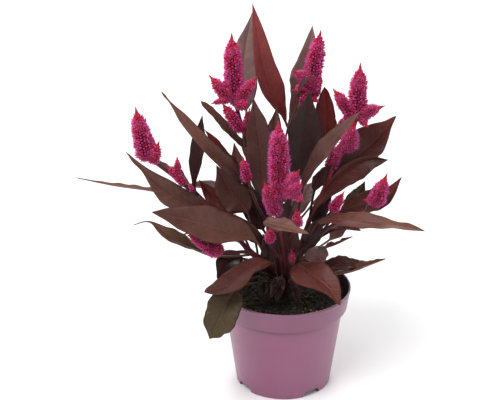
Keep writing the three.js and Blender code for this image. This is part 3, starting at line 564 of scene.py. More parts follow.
class Nodes:
    """Adds nodes to a material's or a group's tree, with their inputs as values or as links."""

    def __init__(self, tree):
        self.tree = tree

    def add(self, kind, inputs=None, **settings):
        node = self.tree.nodes.new(kind)
        for name, value in settings.items():
            setattr(node, name, value)
        for key, value in (inputs or {}).items():
            if isinstance(value, bpy.types.NodeSocket):
                self.tree.links.new(value, node.inputs[key])
            else:
                node.inputs[key].default_value = value
        return node

    def math(self, operation, *values):
        return self.add("ShaderNodeMath", dict(enumerate(values)), operation=operation).outputs[0]

    def times(self, a, b):
        return self.math("MULTIPLY", a, b)

    def mix(self, factor, a, b, blend="MIX"):
        node = self.add("ShaderNodeMix", {0: factor, 6: a, 7: b}, data_type="RGBA", blend_type=blend)
        return node.outputs[2]

    def between(self, value, low, high, to_low=0.0, to_high=1.0):
        node = self.add("ShaderNodeMapRange", {0: value, 1: low, 2: high, 3: to_low, 4: to_high})
        node.interpolation_type = "SMOOTHSTEP"
        return node.outputs[0]

    def noise(self, vector, scale, detail=3.0, roughness=0.55):
        inputs = {"Vector": vector, "Scale": scale, "Detail": detail, "Roughness": roughness}
        return self.add("ShaderNodeTexNoise", inputs).outputs[0]

    def attribute(self, name, output="Color"):
        return self.add("ShaderNodeAttribute", None, attribute_name=name).outputs[output]


def new_group(name, inputs, outputs):
    """A shader node group with named sockets, its Nodes helper, and its input and output nodes."""
    tree = bpy.data.node_groups.new(name, "ShaderNodeTree")
    for label, kind, default in inputs:
        socket = tree.interface.new_socket(label, in_out="INPUT", socket_type=kind)
        if default is not None:
            socket.default_value = default
    for label, kind in outputs:
        tree.interface.new_socket(label, in_out="OUTPUT", socket_type=kind)
    nodes = Nodes(tree)
    return nodes, nodes.add("NodeGroupInput"), nodes.add("NodeGroupOutput")


def mottle_group():
    """Soft patches and fine grain, for any surface that isn't quite even."""
    found = bpy.data.node_groups.get("mottle")
    if found:
        return found
    nodes, given, put = new_group(
        "mottle",
        [("Vector", "NodeSocketVector", None), ("Patch Scale", "NodeSocketFloat", 40.0),
         ("Grain Scale", "NodeSocketFloat", 600.0)],
        [("Patches", "NodeSocketFloat"), ("Grain", "NodeSocketFloat")],
    )
    patches = nodes.noise(given.outputs["Vector"], given.outputs["Patch Scale"])
    grain = nodes.noise(given.outputs["Vector"], given.outputs["Grain Scale"], 2.0)
    nodes.tree.links.new(nodes.between(patches, 0.3, 0.7), put.inputs["Patches"])
    nodes.tree.links.new(nodes.between(grain, 0.25, 0.75), put.inputs["Grain"])
    return nodes.tree


def new_material(name, roughness, **sockets):
    """A material with its Nodes helper, its shader and its Object coordinates."""
    material = bpy.data.materials.new(name)
    material.use_nodes = True
    nodes = Nodes(material.node_tree)
    shader = material.node_tree.nodes["Principled BSDF"]
    shader.inputs["Roughness"].default_value = roughness
    for label, value in sockets.items():
        shader.inputs[label.replace("_", " ")].default_value = value
    place = nodes.add("ShaderNodeTexCoord").outputs["Object"]
    return material, nodes, shader, place


def mottle(nodes, place, patch_scale, grain_scale):
    """The patches and the grain of a mottle."""
    node = nodes.add("ShaderNodeGroup", None, node_tree=mottle_group())
    nodes.tree.links.new(place, node.inputs["Vector"])
    node.inputs["Patch Scale"].default_value = patch_scale
    node.inputs["Grain Scale"].default_value = grain_scale
    return node.outputs["Patches"], node.outputs["Grain"]


def coat(nodes, shader, base, height, strength, distance):
    """Gives the shader its colour and its fine relief."""
    nodes.tree.links.new(base, shader.inputs["Base Color"])
    relief = nodes.add("ShaderNodeBump", {"Height": height, "Strength": strength, "Distance": distance})
    nodes.tree.links.new(relief.outputs["Normal"], shader.inputs["Normal"])


# ---- pot ----------------------------------------------------------------------------------------------


COLLAR_HEIGHT, COLLAR_DRAFT = 0.019, 0.0026
SHOULDER_RADIUS, FOOT_RADIUS = 0.0534, 0.0432
NOTCH_ANGLES = [math.radians(-55 + 90 * i) for i in range(4)]
NOTCH_WIDTH, NOTCH_HEIGHT, NOTCH_DEPTH, NOTCH_INSET = 0.017, 0.0052, 0.014, 0.004
DRAIN_RADIUS, DRAIN_RING = 0.003, 0.0345
CHANNEL_HEIGHT, CHANNEL_INNER, PAD_RADIUS = 0.006, 0.029, 0.024
STRAIGHT_FROM = 0.007  # height above which the body's wall is straight


class PotSettings(bpy.types.PropertyGroup):
    rim_radius: length_setting("Rim radius", "Outside of the collar at the top", RIM_RADIUS)
    height: length_setting("Height", "From the ground to the rim", POT_HEIGHT)
    collar_height: length_setting("Collar height", "Height of the band below the rim", COLLAR_HEIGHT)
    shoulder_radius: length_setting(
        "Shoulder radius", "Outside of the body just below the collar", SHOULDER_RADIUS
    )
    foot_radius: length_setting("Foot radius", "Outside of the body at the ground", FOOT_RADIUS)
    wall: length_setting("Wall", "Thickness of the plastic", 0.0016)
    plastic: colour_setting("Plastic", "Colour of the lilac plastic", "874a6b")


def pot_profile(pot):
    """Corners of the wall's section: radius and height in metres, and fillet in millimetres. They go from
    the middle of the underside out, up the outside, over the rim and down the inside."""
    collar_foot = pot.height - pot.collar_height
    wall = pot.wall
    collar = pot.rim_radius - COLLAR_DRAFT
    body, straight = (
        lerp(pot.foot_radius, pot.shoulder_radius, height / collar_foot)
        for height in (CHANNEL_HEIGHT, STRAIGHT_FROM)
    )
    return [
        (0, 0, 0),
        (PAD_RADIUS, 0, 0.8),
        (CHANNEL_INNER, CHANNEL_HEIGHT, 0.8),
        (body - wall, CHANNEL_HEIGHT, 0.5),
        (pot.foot_radius - wall, 0, 0.4),
        (pot.foot_radius, 0, 0.7),
        (straight, STRAIGHT_FROM, 0),
        (pot.shoulder_radius - 0.0002, collar_foot - 0.0014, 0.6),
        (pot.shoulder_radius + 0.0007, collar_foot, 0.4),
        (collar - 0.0002, collar_foot + 0.0003, 0.7),
        (pot.rim_radius - 0.0005, pot.height - 0.0026, 0.5),
        (pot.rim_radius, pot.height - 0.0022, 0.3),
        (pot.rim_radius, pot.height, 0.7),
        (pot.rim_radius - wall - 0.0002, pot.height, 0.7),
        (collar - wall, collar_foot + 0.0008 + wall, 0.8),
        (pot.shoulder_radius - wall, collar_foot + 0.0004, 0.8),
        (body - wall, CHANNEL_HEIGHT + wall, 0.8),
        (CHANNEL_INNER - wall, CHANNEL_HEIGHT + wall, 0.8),
        (PAD_RADIUS - wall, wall, 0.8),
        (0, wall, 0),
    ]


def rounded(corners, steps=4):
    """The profile's points, with an arc of the given fillet in millimetres at each corner."""
    points = []
    for i, (r, z, fillet) in enumerate(corners):
        here = Vector((r, 0, z))
        if not fillet:
            points.append(here)
            continue
        before = Vector((corners[i - 1][0], 0, corners[i - 1][1]))
        after = Vector((corners[i + 1][0], 0, corners[i + 1][1]))
        back, on = (before - here), (after - here)
        reach = min(fillet * MM, 0.45 * back.length, 0.45 * on.length)
        start, end = here + back.normalized() * reach, here + on.normalized() * reach
        for step in range(steps + 1):
            t = step / steps
            points.append(start * (1 - t) ** 2 + here * (2 * t * (1 - t)) + end * t**2)
    return points


def cut(piece, cutters):
    """Takes the cutters out of the piece's mesh, leaves the cut's edges sharp, and removes the cutters."""
    for cutter in cutters:
        modifier = piece.modifiers.new("cut", "BOOLEAN")
        modifier.operation = "DIFFERENCE"
        modifier.solver = "EXACT"
        modifier.object = cutter
    depsgraph = bpy.context.evaluated_depsgraph_get()
    mesh = bpy.data.meshes.new_from_object(piece.evaluated_get(depsgraph))
    piece.modifiers.clear()
    piece.data = mesh
    mesh.name = piece.name
    bm = bmesh.new()
    bm.from_mesh(mesh)
    for edge in bm.edges:
        edge.smooth = len(edge.link_faces) == 2 and edge.calc_face_angle() < math.radians(35)
    bm.to_mesh(mesh)
    bm.free()
    for cutter in cutters:
        bpy.data.objects.remove(cutter)


def notch_cutter(pot, angle):
    """A block with rounded shoulders that goes through the foot."""
    bm = bmesh.new()
    made = bmesh.ops.create_cube(bm, size=1)["verts"]
    bmesh.ops.scale(bm, vec=(NOTCH_WIDTH, NOTCH_DEPTH, 2 * NOTCH_HEIGHT), verts=made)
    shoulders = []
    for edge in bm.edges:
        a, b = (vert.co for vert in edge.verts)
        if a.z > 0 and b.z > 0 and abs(a.x - b.x) < 1e-6:
            shoulders.append(edge)
    bmesh.ops.bevel(
        bm, geom=shoulders, offset=NOTCH_HEIGHT * 0.6, segments=5, profile=0.5, affect="EDGES", material=-1
    )
    out = -pot.foot_radius + NOTCH_DEPTH / 2 - NOTCH_INSET
    bmesh.ops.translate(bm, vec=(0, out, 0), verts=bm.verts[:])
    bmesh.ops.rotate(bm, cent=(0, 0, 0), matrix=Matrix.Rotation(angle, 3, "Z"), verts=bm.verts[:])
    return as_object("cutter", bm)


def drain_cutter(angle):
    bm = bmesh.new()
    made = bmesh.ops.create_cone(
        bm, cap_ends=True, segments=24, radius1=DRAIN_RADIUS, radius2=DRAIN_RADIUS, depth=2 * CHANNEL_HEIGHT
    )["verts"]
    place = (DRAIN_RING * math.sin(angle), -DRAIN_RING * math.cos(angle), CHANNEL_HEIGHT)
    bmesh.ops.translate(bm, vec=place, verts=made)
    return as_object("cutter", bm)


def plastic_material(pot):
    """Satin moulded plastic: faint flow patches, a fine grain, painted shade that darkens the collar, smudges
    near the ground, and a band of painted shade in the angle under the collar."""
    material, nodes, shader, place = new_material(
        "lilac plastic", 0.38, Coat_Weight=0.3, Coat_Roughness=0.35
    )
    patches, grain = mottle(nodes, place, 22.0, 900.0)
    height = nodes.add("ShaderNodeSeparateXYZ", {0: place}).outputs["Z"]
    collar_foot = pot.height - pot.collar_height
    collar_edge = collar_foot + 0.0006
    plain = tuple(pot.plastic)
    worn = (*[lerp(c, 0.55, 0.07) for c in plain[:3]], 1.0)
    base = nodes.mix(nodes.times(patches, 0.35), plain, worn)
    # Painted shade: the collar is darkened as if the leaves above it shaded it.
    thick = nodes.between(height, collar_foot, collar_edge)
    base = nodes.mix(nodes.times(thick, 0.2), base, (0.02, 0.01, 0.015, 1))
    low = nodes.between(height, 0.0, 0.03, 1.0, 0.0)
    smudge = nodes.times(low, nodes.between(nodes.noise(place, 90.0, 5.0), 0.5, 0.75))
    base = nodes.mix(nodes.times(smudge, 0.22), base, colour("4b3a36"))
    # Painted shade: a dark band on the body in the angle under the collar's overhang.
    painted_shade_below_collar = nodes.between(height, collar_foot - 0.0065, collar_foot - 0.001)
    groove = nodes.times(painted_shade_below_collar, nodes.between(height, collar_foot, collar_edge, 1.0, 0.0))
    base = nodes.mix(nodes.times(groove, 0.6), base, colour("5a2c46"))
    rough = nodes.math("ADD", nodes.times(patches, 0.10), nodes.times(smudge, 0.2))
    nodes.tree.links.new(nodes.math("ADD", rough, 0.34), shader.inputs["Roughness"])
    coat(nodes, shader, base, nodes.math("ADD", grain, nodes.times(patches, 2.0)), 0.25, 0.0001)
    return material


def lining_material():
    """The wall's inner side, dark up to the rim."""
    material, nodes, shader, place = new_material("dark lining", 0.6, Specular_IOR_Level=0.3)
    patches, grain = mottle(nodes, place, 120.0, 900.0)
    coat(nodes, shader, nodes.mix(patches, colour("1d1316"), colour("33202a")), grain, 0.3, 0.0002)
    return material


class CELOSIA_OT_pot(bpy.types.Operator):
    """Builds the round nursery pot with its collar, drain channel, holes and foot notches"""

    bl_idname = "celosia.pot"
    bl_label = "Pot"

    def execute(self, context):
        pot = context.scene.celosia_pot
        bm = bmesh.new()
        verts = [bm.verts.new(p) for p in rounded(pot_profile(pot))]
        edges = [bm.edges.new(pair) for pair in zip(verts, verts[1:])]
        bmesh.ops.spin(
            bm, geom=verts + edges, cent=(0, 0, 0), axis=(0, 0, 1), angle=TURN, steps=112, use_merge=True
        )
        bmesh.ops.remove_doubles(bm, verts=bm.verts[:], dist=1e-6)
        bmesh.ops.recalc_face_normals(bm, faces=bm.faces[:])
        for face in bm.faces:
            face.smooth = True
            middle = face.calc_center_median()
            if face.normal.xy.dot(middle.xy) < 0 and middle.z > CHANNEL_HEIGHT:
                face.material_index = 1
        materials = [plastic_material(pot), lining_material()]
        piece = finish_piece("nursery_pot", bm, "pot", materials)
        cut(piece, [notch_cutter(pot, a) for a in NOTCH_ANGLES] + [drain_cutter(a) for a in NOTCH_ANGLES])
        return {"FINISHED"}


# ---- soil ---------------------------------------------------------------------------------------------


SOIL_FOOT = 0.0022  # height of the peat's underside in the middle
SOIL_SHOULDER = 0.0758  # height where the peat widens into the collar
SOIL_STEP = 0.0082  # height of the peat's underside over the drain channel
SOIL_RINGS, SOIL_AROUND = 34, 132
RIM_SINK = 0.0012  # how much lower the peat lies at the wall
CRUMB_SIZES = (0.0005, 0.0007, 0.0009, 0.0012, 0.0016)
CRUMB_SHADES = [(1, 1, 1, 1)] * 10 + [(3, 2.5, 1.8, 1)] * 3 + [(5, 4.8, 2.4, 1)] * 2
GRANULE_SIZES = (0.0007, 0.0009, 0.0012)
GRANULE_SHADES = [(22, 15, 5, 1), (30, 22, 8, 1), (14, 10, 4, 1)]
GRANULES = (0.028, -0.042)  # where most of the golden granules of fertiliser lie


class SoilSettings(bpy.types.PropertyGroup):
    level: length_setting("Level", "Height of the peat's surface", 0.0865)
    crumbs: count_setting("Crumbs", "Loose crumbs on the surface", 1500)
    granules: count_setting("Granules", "Golden granules of fertiliser", 44)
    seed: count_setting("Seed", "Which of many ways the crumbs lie", 5)


def soil_radius(height):
    """Inside radius of the pot, with a little room, at a height."""
    if height < SOIL_SHOULDER:
        return lerp(FOOT_RADIUS, SHOULDER_RADIUS, height / 0.075) - 0.0021
    return lerp(0.0555, 0.0579, (height - SOIL_SHOULDER) / 0.0182)


def soil_surface(x, y, soil):
    """Height of the crumbly surface."""
    place = Vector((x, y, 0.3))
    lumps = noise.fractal(place * 90, 1.0, 2.0, 4) * 0.0016
    clods = noise.cell(place * 260) * 0.0009
    return soil.level + lumps + clods - 0.0006


def peat_material():
    """Dark peat with fibres and specks; a crumb's own shade comes with it."""
    material, nodes, shader, place = new_material("peat", 0.92, Specular_IOR_Level=0.25)
    patches, grain = mottle(nodes, place, 160.0, 1400.0)
    base = nodes.mix(patches, colour("0e0b09"), colour("1e1913"))
    base = nodes.mix(nodes.times(grain, 0.4), base, colour("2b2418"))
    specks = nodes.between(nodes.noise(place, 520.0, 1.0), 0.64, 0.72)
    base = nodes.mix(nodes.times(specks, 0.5), base, colour("5b5433"))
    base = nodes.mix(1.0, base, nodes.attribute("shade"), "MULTIPLY")
    coat(nodes, shader, base, nodes.math("ADD", patches, grain), 0.7, 0.0006)
    return material


class CELOSIA_OT_soil(bpy.types.Operator):
    """Builds the peat that fills the pot, with the loose crumbs and golden granules on top"""

    bl_idname = "celosia.soil"
    bl_label = "Potting soil"

    def execute(self, context):
        soil = context.scene.celosia_soil
        dice = random.Random(soil.seed)
        bm = bmesh.new()
        shade = bm.verts.layers.float_color.new("shade")
        edge = soil_radius(soil.level) - 0.0003
        section = [
            (0.0219, SOIL_FOOT), (0.0269, SOIL_STEP), (soil_radius(SOIL_STEP), SOIL_STEP),
            (0.0513, SOIL_SHOULDER), (0.0553, 0.0782),
        ]
        rows = len(section) + SOIL_RINGS + 1

        def place(vert, column, row):
            vert[shade] = (1, 1, 1, 1)
            angle = TURN * column / SOIL_AROUND
            if row in (0, rows):
                return Vector((0, 0, SOIL_FOOT if row == 0 else soil_surface(0, 0, soil)))
            if row <= len(section):
                r, z = section[row - 1]
                return Vector((r * math.cos(angle), r * math.sin(angle), z))
            r = edge * (1 - (row - len(section) - 1) / SOIL_RINGS) ** 0.85
            x, y = r * math.cos(angle), r * math.sin(angle)
            sink = RIM_SINK * ease(edge - 0.004, edge, r)
            return Vector((x, y, soil_surface(x, y, soil) - sink))

        closed_skin(bm, SOIL_AROUND, rows, place)
        for crumb in range(soil.crumbs + soil.granules):
            golden = crumb >= soil.crumbs
            r = (edge - 0.0018) * math.sqrt(dice.random())
            angle = dice.uniform(0, TURN)
            x, y = r * math.cos(angle), r * math.sin(angle)
            size = dice.choice(CRUMB_SIZES)
            own_shade = dice.choice(CRUMB_SHADES)
            stretch = Vector((dice.uniform(0.6, 1.9), dice.uniform(0.6, 1.1), dice.uniform(0.5, 0.9)))
            if golden:
                if crumb % 4:  # three in four lie together
                    x, y = (dice.gauss(centre, 0.006) for centre in GRANULES)
                if math.hypot(x, y) > edge - 0.002:
                    continue
                size = dice.choice(GRANULE_SIZES)
                own_shade = dice.choice(GRANULE_SHADES)
                stretch = Vector((1, 0.9, 0.9))
            made = bmesh.ops.create_icosphere(bm, subdivisions=1, radius=size)["verts"]
            turn = Matrix.Rotation(dice.uniform(0, math.pi), 3, "Z")
            middle = Vector((x, y, soil_surface(x, y, soil) + size * 0.2))
            for vert in made:
                rough = 1 + dice.uniform(-0.22, 0.22)
                vert.co = turn @ (vert.co * stretch) * rough + middle
                vert[shade] = own_shade
        finish_piece("peat", bm, "soil", [peat_material()])
        return {"FINISHED"}


# ---- shoots: stems and leaves -------------------------------------------------------------------------

STEM_END, SIDE_STEM = 0.6, 0.45  # radius of a stem's upper end and of its side stems, against its foot's
STEM_SIDES, STEM_STEP = 12, 0.0026
JOINT_LENGTH, JOINT_SWELL = 0.0028, 0.28  # how a stem thickens where a leaf leaves it
WIDE_BLADE = 0.019  # a wider blade takes more columns
STALK_ROWS, BLADE_STEP, MOST_BLADE_ROWS = 6, 0.0021, 54
BLADE_TIP = 0.0002  # half-width at the tip


class LeafSettings(bpy.types.PropertyGroup):
    thickness: length_setting("Thickness", "Thickness of a blade", 0.0005)
    petiole: length_setting("Petiole", "Width of a leaf's stalk", 0.0022)
    vein_gap: length_setting("Vein gap", "Distance between side veins along the midrib", 0.0085)
    pucker: length_setting("Pucker", "How far a blade bulges between two veins", 0.0003)
    stem: colour_setting("Stem", "Colour of the stems", "451519")
    rosy_stem: colour_setting("Rosy stem", "Colour of a young plume's stalk", "a81c42")


def skin_layers(bm):
    """A leaf's or a stem's own colour, the place on its blade, and the colour of its veins."""
    values = bm.verts.layers
    return (
        values.float_color.new("skin"), values.float_vector.new("blade"), values.float_color.new("vein_tint")
    )


def through(points, t):
    """The height at t of a smooth line through (t, height) points."""
    i = max(k for k in range(len(points) - 1) if points[k][0] <= t)
    slopes = []
    for k in (i, i + 1):
        (t0, a), (t1, b) = points[max(0, k - 1)], points[min(len(points) - 1, k + 1)]
        slopes.append((b - a) / (t1 - t0))
    (t0, a), (t1, b) = points[i], points[i + 1]
    w = (t - t0) / (t1 - t0)
    ease_in, ease_out = w * (1 - w) ** 2, w * w * (w - 1)
    return lerp(a, b, w * w * (3 - 2 * w)) + (t1 - t0) * (ease_in * slopes[0] + ease_out * slopes[1])


def blade_frame(midrib, foot, facing, t):
    """Where the midrib passes at t along the blade, with its directions. t below 0 is on the petiole."""
    return midrib.frame(lerp(foot, 1, t) if t >= 0 else foot * (1 + t), facing)


def add_leaf(bm, root, leaf, settings, layers, dice):
    """One leaf in one closed skin: the petiole, the blade with its two folded, waved and puckered halves,
    and the midrib that stands out below it."""
    midrib = Curve([root / MM, *leaf.path])
    foot = 1 / len(leaf.path)
    facing = Vector(leaf.faces).normalized()
    width = leaf.width * MM
    length = midrib.length() * (1 - foot)
    halves = 10 if width > WIDE_BLADE else 7
    around = 4 * halves
    blade_rows = max(16, min(MOST_BLADE_ROWS, round(length / BLADE_STEP)))
    rows = STALK_ROWS + blade_rows
    veins = length / settings.vein_gap
    power = math.log(0.5) / math.log(leaf.widest)
    phase = dice.uniform(0, TURN)
    upper, lower, vein = (
        (colour(a), colour(b)) for a, b in zip(TONES[leaf.tone], TONES[leaf.end_tone])
    )
    shade = dice.uniform(0.9, 1.12)
    skin, blade_place, vein_tint = layers
    stalk_edge = settings.petiole / 2 / MM
    left, right = ([(0, stalk_edge), *((row[0], row[k]) for row in leaf.edges), (1, 0)] for k in (1, 2))

    def place(vert, column, row):
        t = (row - STALK_ROWS) / (blade_rows if row > STALK_ROWS else STALK_ROWS)
        point, _, out, side = blade_frame(midrib, foot, facing, t)
        t = max(0.0, t)
        top = column <= around / 2
        x = 1 - column / halves if top else column / halves - 3
        c = math.copysign(abs(x) ** 1.35, x)  # -1 at one edge, 0 on the midrib, 1 at the other
        ragged = 1 + 0.03 * math.sin(17 * t + phase + math.copysign(2, c)) + 0.015 * math.sin(41 * t - phase)
        if leaf.edges:
            swell = through(right if c > 0 else left, t) * MM / (width / 2)
        else:
            swell = math.sin(math.pi * t**power) ** 0.9 * (1 - 0.35 * ease(0.7, 1, t)) if t > 0 else 0.0
        half = max(width / 2 * swell * ragged, lerp(settings.petiole / 2, BLADE_TIP, t**0.6))
        swell = min(1, swell)
        flat = ease(0, 0.14, t)
        # Each half rises from the midrib by the fold, waves along the blade and ruffles at its edge.
        open_angle = math.radians(leaf.fold * min(1, 4 * t))
        across = abs(c) * half
        rise = across * math.sin(open_angle) * (1.06 - 0.12 * abs(c))
        wave = leaf.wave * MM * swell * math.sin(TURN * (2.3 * t + leaf.width / 9)) * c * abs(c)
        ruffle = 0.0005 * swell * math.sin(TURN * 6.4 * t + phase + 1.4 * math.copysign(1, c)) * c * c
        # The side veins lean towards the tip, and the blade bulges between them.
        lean = (0.85 * across + 24 * across * across) / max(length, 0.02)
        vein_phase = veins * (t - lean) + (0.5 if c > 0 else 0)
        body = ease(0.0006, 0.0022, across) * (1 - ease(0.72, 1.0, abs(c))) * min(1, half / 0.007)
        swellings = settings.pucker * body * (0.5 - 0.5 * math.cos(TURN * vein_phase)) * flat
        height = rise + wave + ruffle + swellings
        # The petiole is round, and the blade is thin with a midrib that stands out below.
        rim = math.sqrt(max(0, 1 - c * c))
        thick = lerp(settings.petiole * 0.40 * rim, settings.thickness / 2 * (1 - c**8), flat)
        rib = lerp(0.0010, 0.0003, t) * flat
        if top:
            groove = 0.6 * rib * math.exp(-((across / 0.0008) ** 2))
            height += thick - groove
        else:
            keel = rib * 1.5 * math.exp(-((across / (0.9 * rib + 0.0003)) ** 2))
            height -= thick + keel
        if row in (0, rows):
            c, height = 0.0, 0.0
        vert[skin] = lerp(*(upper if top else lower), t) * shade
        vert[vein_tint] = lerp(*vein, t) * shade
        vert[blade_place] = (vein_phase, across / MM, flat * min(1, half / 0.004))
        return point - side * (c * half * math.cos(open_angle)) + out * height

    closed_skin(bm, around, rows, place)


def add_stem(bm, curve, radius_at, layers, settings, joints=(), rosy=0):
    """A ribbed stem, thicker at the joints where leaves leave it."""
    rows = max(10, round(curve.length() / STEM_STEP))
    skin, blade_place, vein_tint = layers

    def place(vert, column, row):
        t = (row - 1) / (rows - 2)
        end = row in (0, rows)
        t = min(1.0, max(0.0, t))
        point, _, out, side = curve.frame(t, FORWARD)
        angle = TURN * column / STEM_SIDES
        swell = sum(math.exp(-(((t - j) * curve.length() / JOINT_LENGTH) ** 2)) for j in joints)
        ribs = 1 + 0.07 * math.cos(4 * angle)
        radius = 0 if end else radius_at(t) * ribs * (1 + JOINT_SWELL * min(1, swell))
        brown = Vector(settings.stem) * lerp(0.22, 1.1, ease(0.05, 0.6, t))
        vert[skin] = brown.lerp(Vector(settings.rosy_stem), rosy)
        vert[vein_tint] = vert[skin]
        vert[blade_place] = (angle, 5.0, 0.0)
        return point + (out * math.cos(angle) - side * math.sin(angle)) * radius

    closed_skin(bm, STEM_SIDES, rows, place, 1)


def leaf_material():
    """Bronze leaf: sunken side veins that leave a ribbed midrib, a fine net between them, soft patches and
    a waxy gloss. The shade of each leaf, and the place on its blade, come with its mesh."""
    material, nodes, shader, place = new_material("bronze leaf", 0.48, Specular_IOR_Level=0.22)
    skin, vein_tint = nodes.attribute("skin"), nodes.attribute("vein_tint")
    blade = nodes.attribute("blade", "Vector")
    phase, across, flat = nodes.add("ShaderNodeSeparateXYZ", {0: blade}).outputs
    patches, grain = mottle(nodes, place, 60.0, 1100.0)
    to_vein = nodes.math("PINGPONG", phase, 0.5)
    fade = nodes.between(across, 0.6, 14.0, 0.8, 0.1)
    side_vein = nodes.times(nodes.times(nodes.between(to_vein, 0.02, 0.09, 1.0, 0.0), fade), flat)
    main = nodes.times(nodes.between(across, 0.35, 1.0, 1.0, 0.0), flat)
    cells = nodes.add(
        "ShaderNodeTexVoronoi", {"Vector": place, "Scale": 620.0}, feature="DISTANCE_TO_EDGE"
    ).outputs["Distance"]
    net = nodes.times(nodes.between(cells, 0.0, 0.12, 1.0, 0.0), nodes.times(flat, 0.22))
    sunken = nodes.math("MAXIMUM", side_vein, net)
    base = nodes.mix(patches, nodes.mix(1.0, skin, (0.72, 0.66, 0.66, 1), "MULTIPLY"), skin)
    base = nodes.mix(nodes.times(grain, 0.12), base, vein_tint)
    base = nodes.mix(nodes.times(nodes.math("MAXIMUM", sunken, main), 0.6), base, vein_tint)
    nodes.tree.links.new(nodes.between(patches, 0.0, 1.0, 0.38, 0.50), shader.inputs["Roughness"])
    coat(nodes, shader, base, nodes.math("SUBTRACT", nodes.times(grain, 0.15), sunken), 0.5, 0.0004)
    return material


def stem_material():
    """Dark red stem with fine pale streaks along it."""
    material, nodes, shader, place = new_material("red stem", 0.45, Specular_IOR_Level=0.35)
    skin = nodes.attribute("skin")
    stretched = nodes.add("ShaderNodeMapping", {"Vector": place, "Scale": (1.0, 1.0, 0.12)}).outputs[0]
    streaks, _ = mottle(nodes, stretched, 900.0, 300.0)
    patches, grain = mottle(nodes, place, 80.0, 1500.0)
    pale = nodes.mix(1.0, skin, (2.4, 1.8, 1.6, 1), "MULTIPLY")
    base = nodes.mix(nodes.times(streaks, 0.45), skin, pale)
    base = nodes.mix(nodes.times(patches, 0.3), base, colour("2a1012"))
    coat(nodes, shader, base, nodes.math("ADD", streaks, grain), 0.4, 0.0003)
    return material


def side_curve(main, plume_row):
    """The side stem that carries a plume, or the shoot's own stem where the plume ends it."""
    if plume_row.at is None:
        return main
    return Curve([main.point(main.at_height(plume_row.at)) / MM, *plume_row.side_stem])


class CELOSIA_OT_shoots(bpy.types.Operator):
    """Builds the leafy shoots, each with its stems, petioles and blades"""

    bl_idname = "celosia.shoots"
    bl_label = "Leafy shoots"

    def execute(self, context):
        settings = context.scene.celosia_leaf
        materials = [leaf_material(), stem_material()]
        dice, withered_dice = random.Random(11), random.Random(17)
        for name, shoot in SHOOTS.items():
            bm = bmesh.new()
            layers = skin_layers(bm)
            main = Curve(shoot.stem)
            radius = shoot.radius * MM
            side_radius = radius * SIDE_STEM
            joints = [main.at_height(row.at) for row in shoot.leaves]
            add_stem(bm, main, lambda t: radius * lerp(1, STEM_END, t), layers, settings, joints)
            for row in shoot.plumes.values():
                if row.at is not None:
                    add_stem(bm, side_curve(main, row), lambda t: side_radius, layers, settings)
            for row in shoot.leaves:
                add_leaf(bm, main.point(main.at_height(row.at)), row, settings, layers, dice)
            for row in WITHERED.get(name, ()):
                add_leaf(bm, main.point(main.at_height(row.at)), row, settings, layers, withered_dice)
            finish_piece(f"leafy_{name}", bm, f"shoot_{name}", materials)
        return {"FINISHED"}


# ---- plumes -------------------------------------------------------------------------------------------


class PlumeSettings(bpy.types.PropertyGroup):
    rank_gap: length_setting(
        "Rank gap", "Distance between the upright ranks of florets round a spike", 0.0034
    )
    floret_gap: length_setting("Floret gap", "Distance between the florets of a rank", 0.0026)
    floret_width: length_setting("Floret width", "Width of a grown floret", 0.0026)
    core: FloatProperty(
        name="Core", description="Radius of the spike's axis as a share of the whole", default=0.5,
        subtype="FACTOR",
    )
    pink: colour_setting("Pink", "Colour of a tepal's outside", "f467bb")
    crimson: colour_setting("Crimson", "Colour inside a floret and of the closed buds", "c81f33")
    seed: count_setting("Seed", "Which of many ways the florets stand", 3)


POINT_SLOPE = 0.3  # how fast a spike widens from its bare point
LEAN_AT_POINT, LEAN_ABOUT, LEAN_AT_FOOT = (math.radians(angle) for angle in (30, 72, 112))
SPIKE_TWIST = 0.3  # how far a rank turns round the axis from the point to the foot
SPIKE_ROWS, SPIKE_SIDES = 14, 8
SCALE_RISE, SCALE_TURN, SCALE_LENGTH = 0.0011, 0.52, 0.0022  # from one ring of scales to the next
BARE_POINT = 0.45  # how far down the scales reach, against the spike's radius
HEART = 2  # slot of the material of a floret's inner side


def spike_reach(below, above, full):
    """How far the florets reach at a distance below the spike's point and above its foot."""
    u = below / full
    point = POINT_SLOPE * min(1, u)
    body = 1 - math.exp(-max(0, u - 0.3) / 0.85)
    return full * max(point, body) * min(1, 0.6 + 0.8 * above / full)


def bud_shape(name, columns, rings, age):
    """A closed skin one unit long through rings of height, radius on a keel and beside it, how much lower
    the corners beside the keels are, and how light the ring is, which paints shade that darkens the floret's
    foot and heart. A last ring that lies lower than the one before it is the floret's heart."""
    bm = bmesh.new()
    floret = bm.verts.layers.float_vector.new("floret")

    def place(vert, column, row):
        height, keel, hollow, drop, light = rings[row]
        on_keel = column % 2 == 0
        angle = TURN * column / columns
        radius = keel if on_keel else hollow
        vert[floret] = (light, age, 0)
        return Vector((radius * math.cos(angle), radius * math.sin(angle), height - (0 if on_keel else drop)))

    closed_skin(bm, columns, len(rings) - 1, place)
    heart_height = rings[-1][0]
    for vert in bm.verts:
        middle = vert.co.xy.length < 1e-6 and abs(vert.co.z - heart_height) < 1e-6
        if middle and heart_height < rings[-2][0]:
            for face in vert.link_faces:
                face.material_index = HEART
    return as_mesh(name, bm)


FLORET_FOOT = [(0.0, 0.0, 0.0, 0, 0), (0.16, 0.30, 0.24, 0, 0.1)]


def floret_shape(belly, belly_height, spread, age):
    """Five pointed tepals round a hollow. They open further the larger the spread is."""
    rings = [
        *FLORET_FOOT,
        (belly_height, belly, belly * 0.72, 0, 0.75),
        (1.0, spread, spread * 0.45, 0.42, 1),
        (0.38, 0.0, 0.0, 0, 0.1),
    ]
    return bud_shape("floret", 10, rings, age)


def closed_floret_shape():
    """A plump closed floret: five keeled tepals that meet in a blunt point."""
    rings = [
        *FLORET_FOOT, (0.45, 0.43, 0.34, 0, 0.6), (0.82, 0.24, 0.15, 0, 0.9), (1.0, 0.0, 0.0, 0, 1)
    ]
    return bud_shape("closed floret", 10, rings, 0.25)


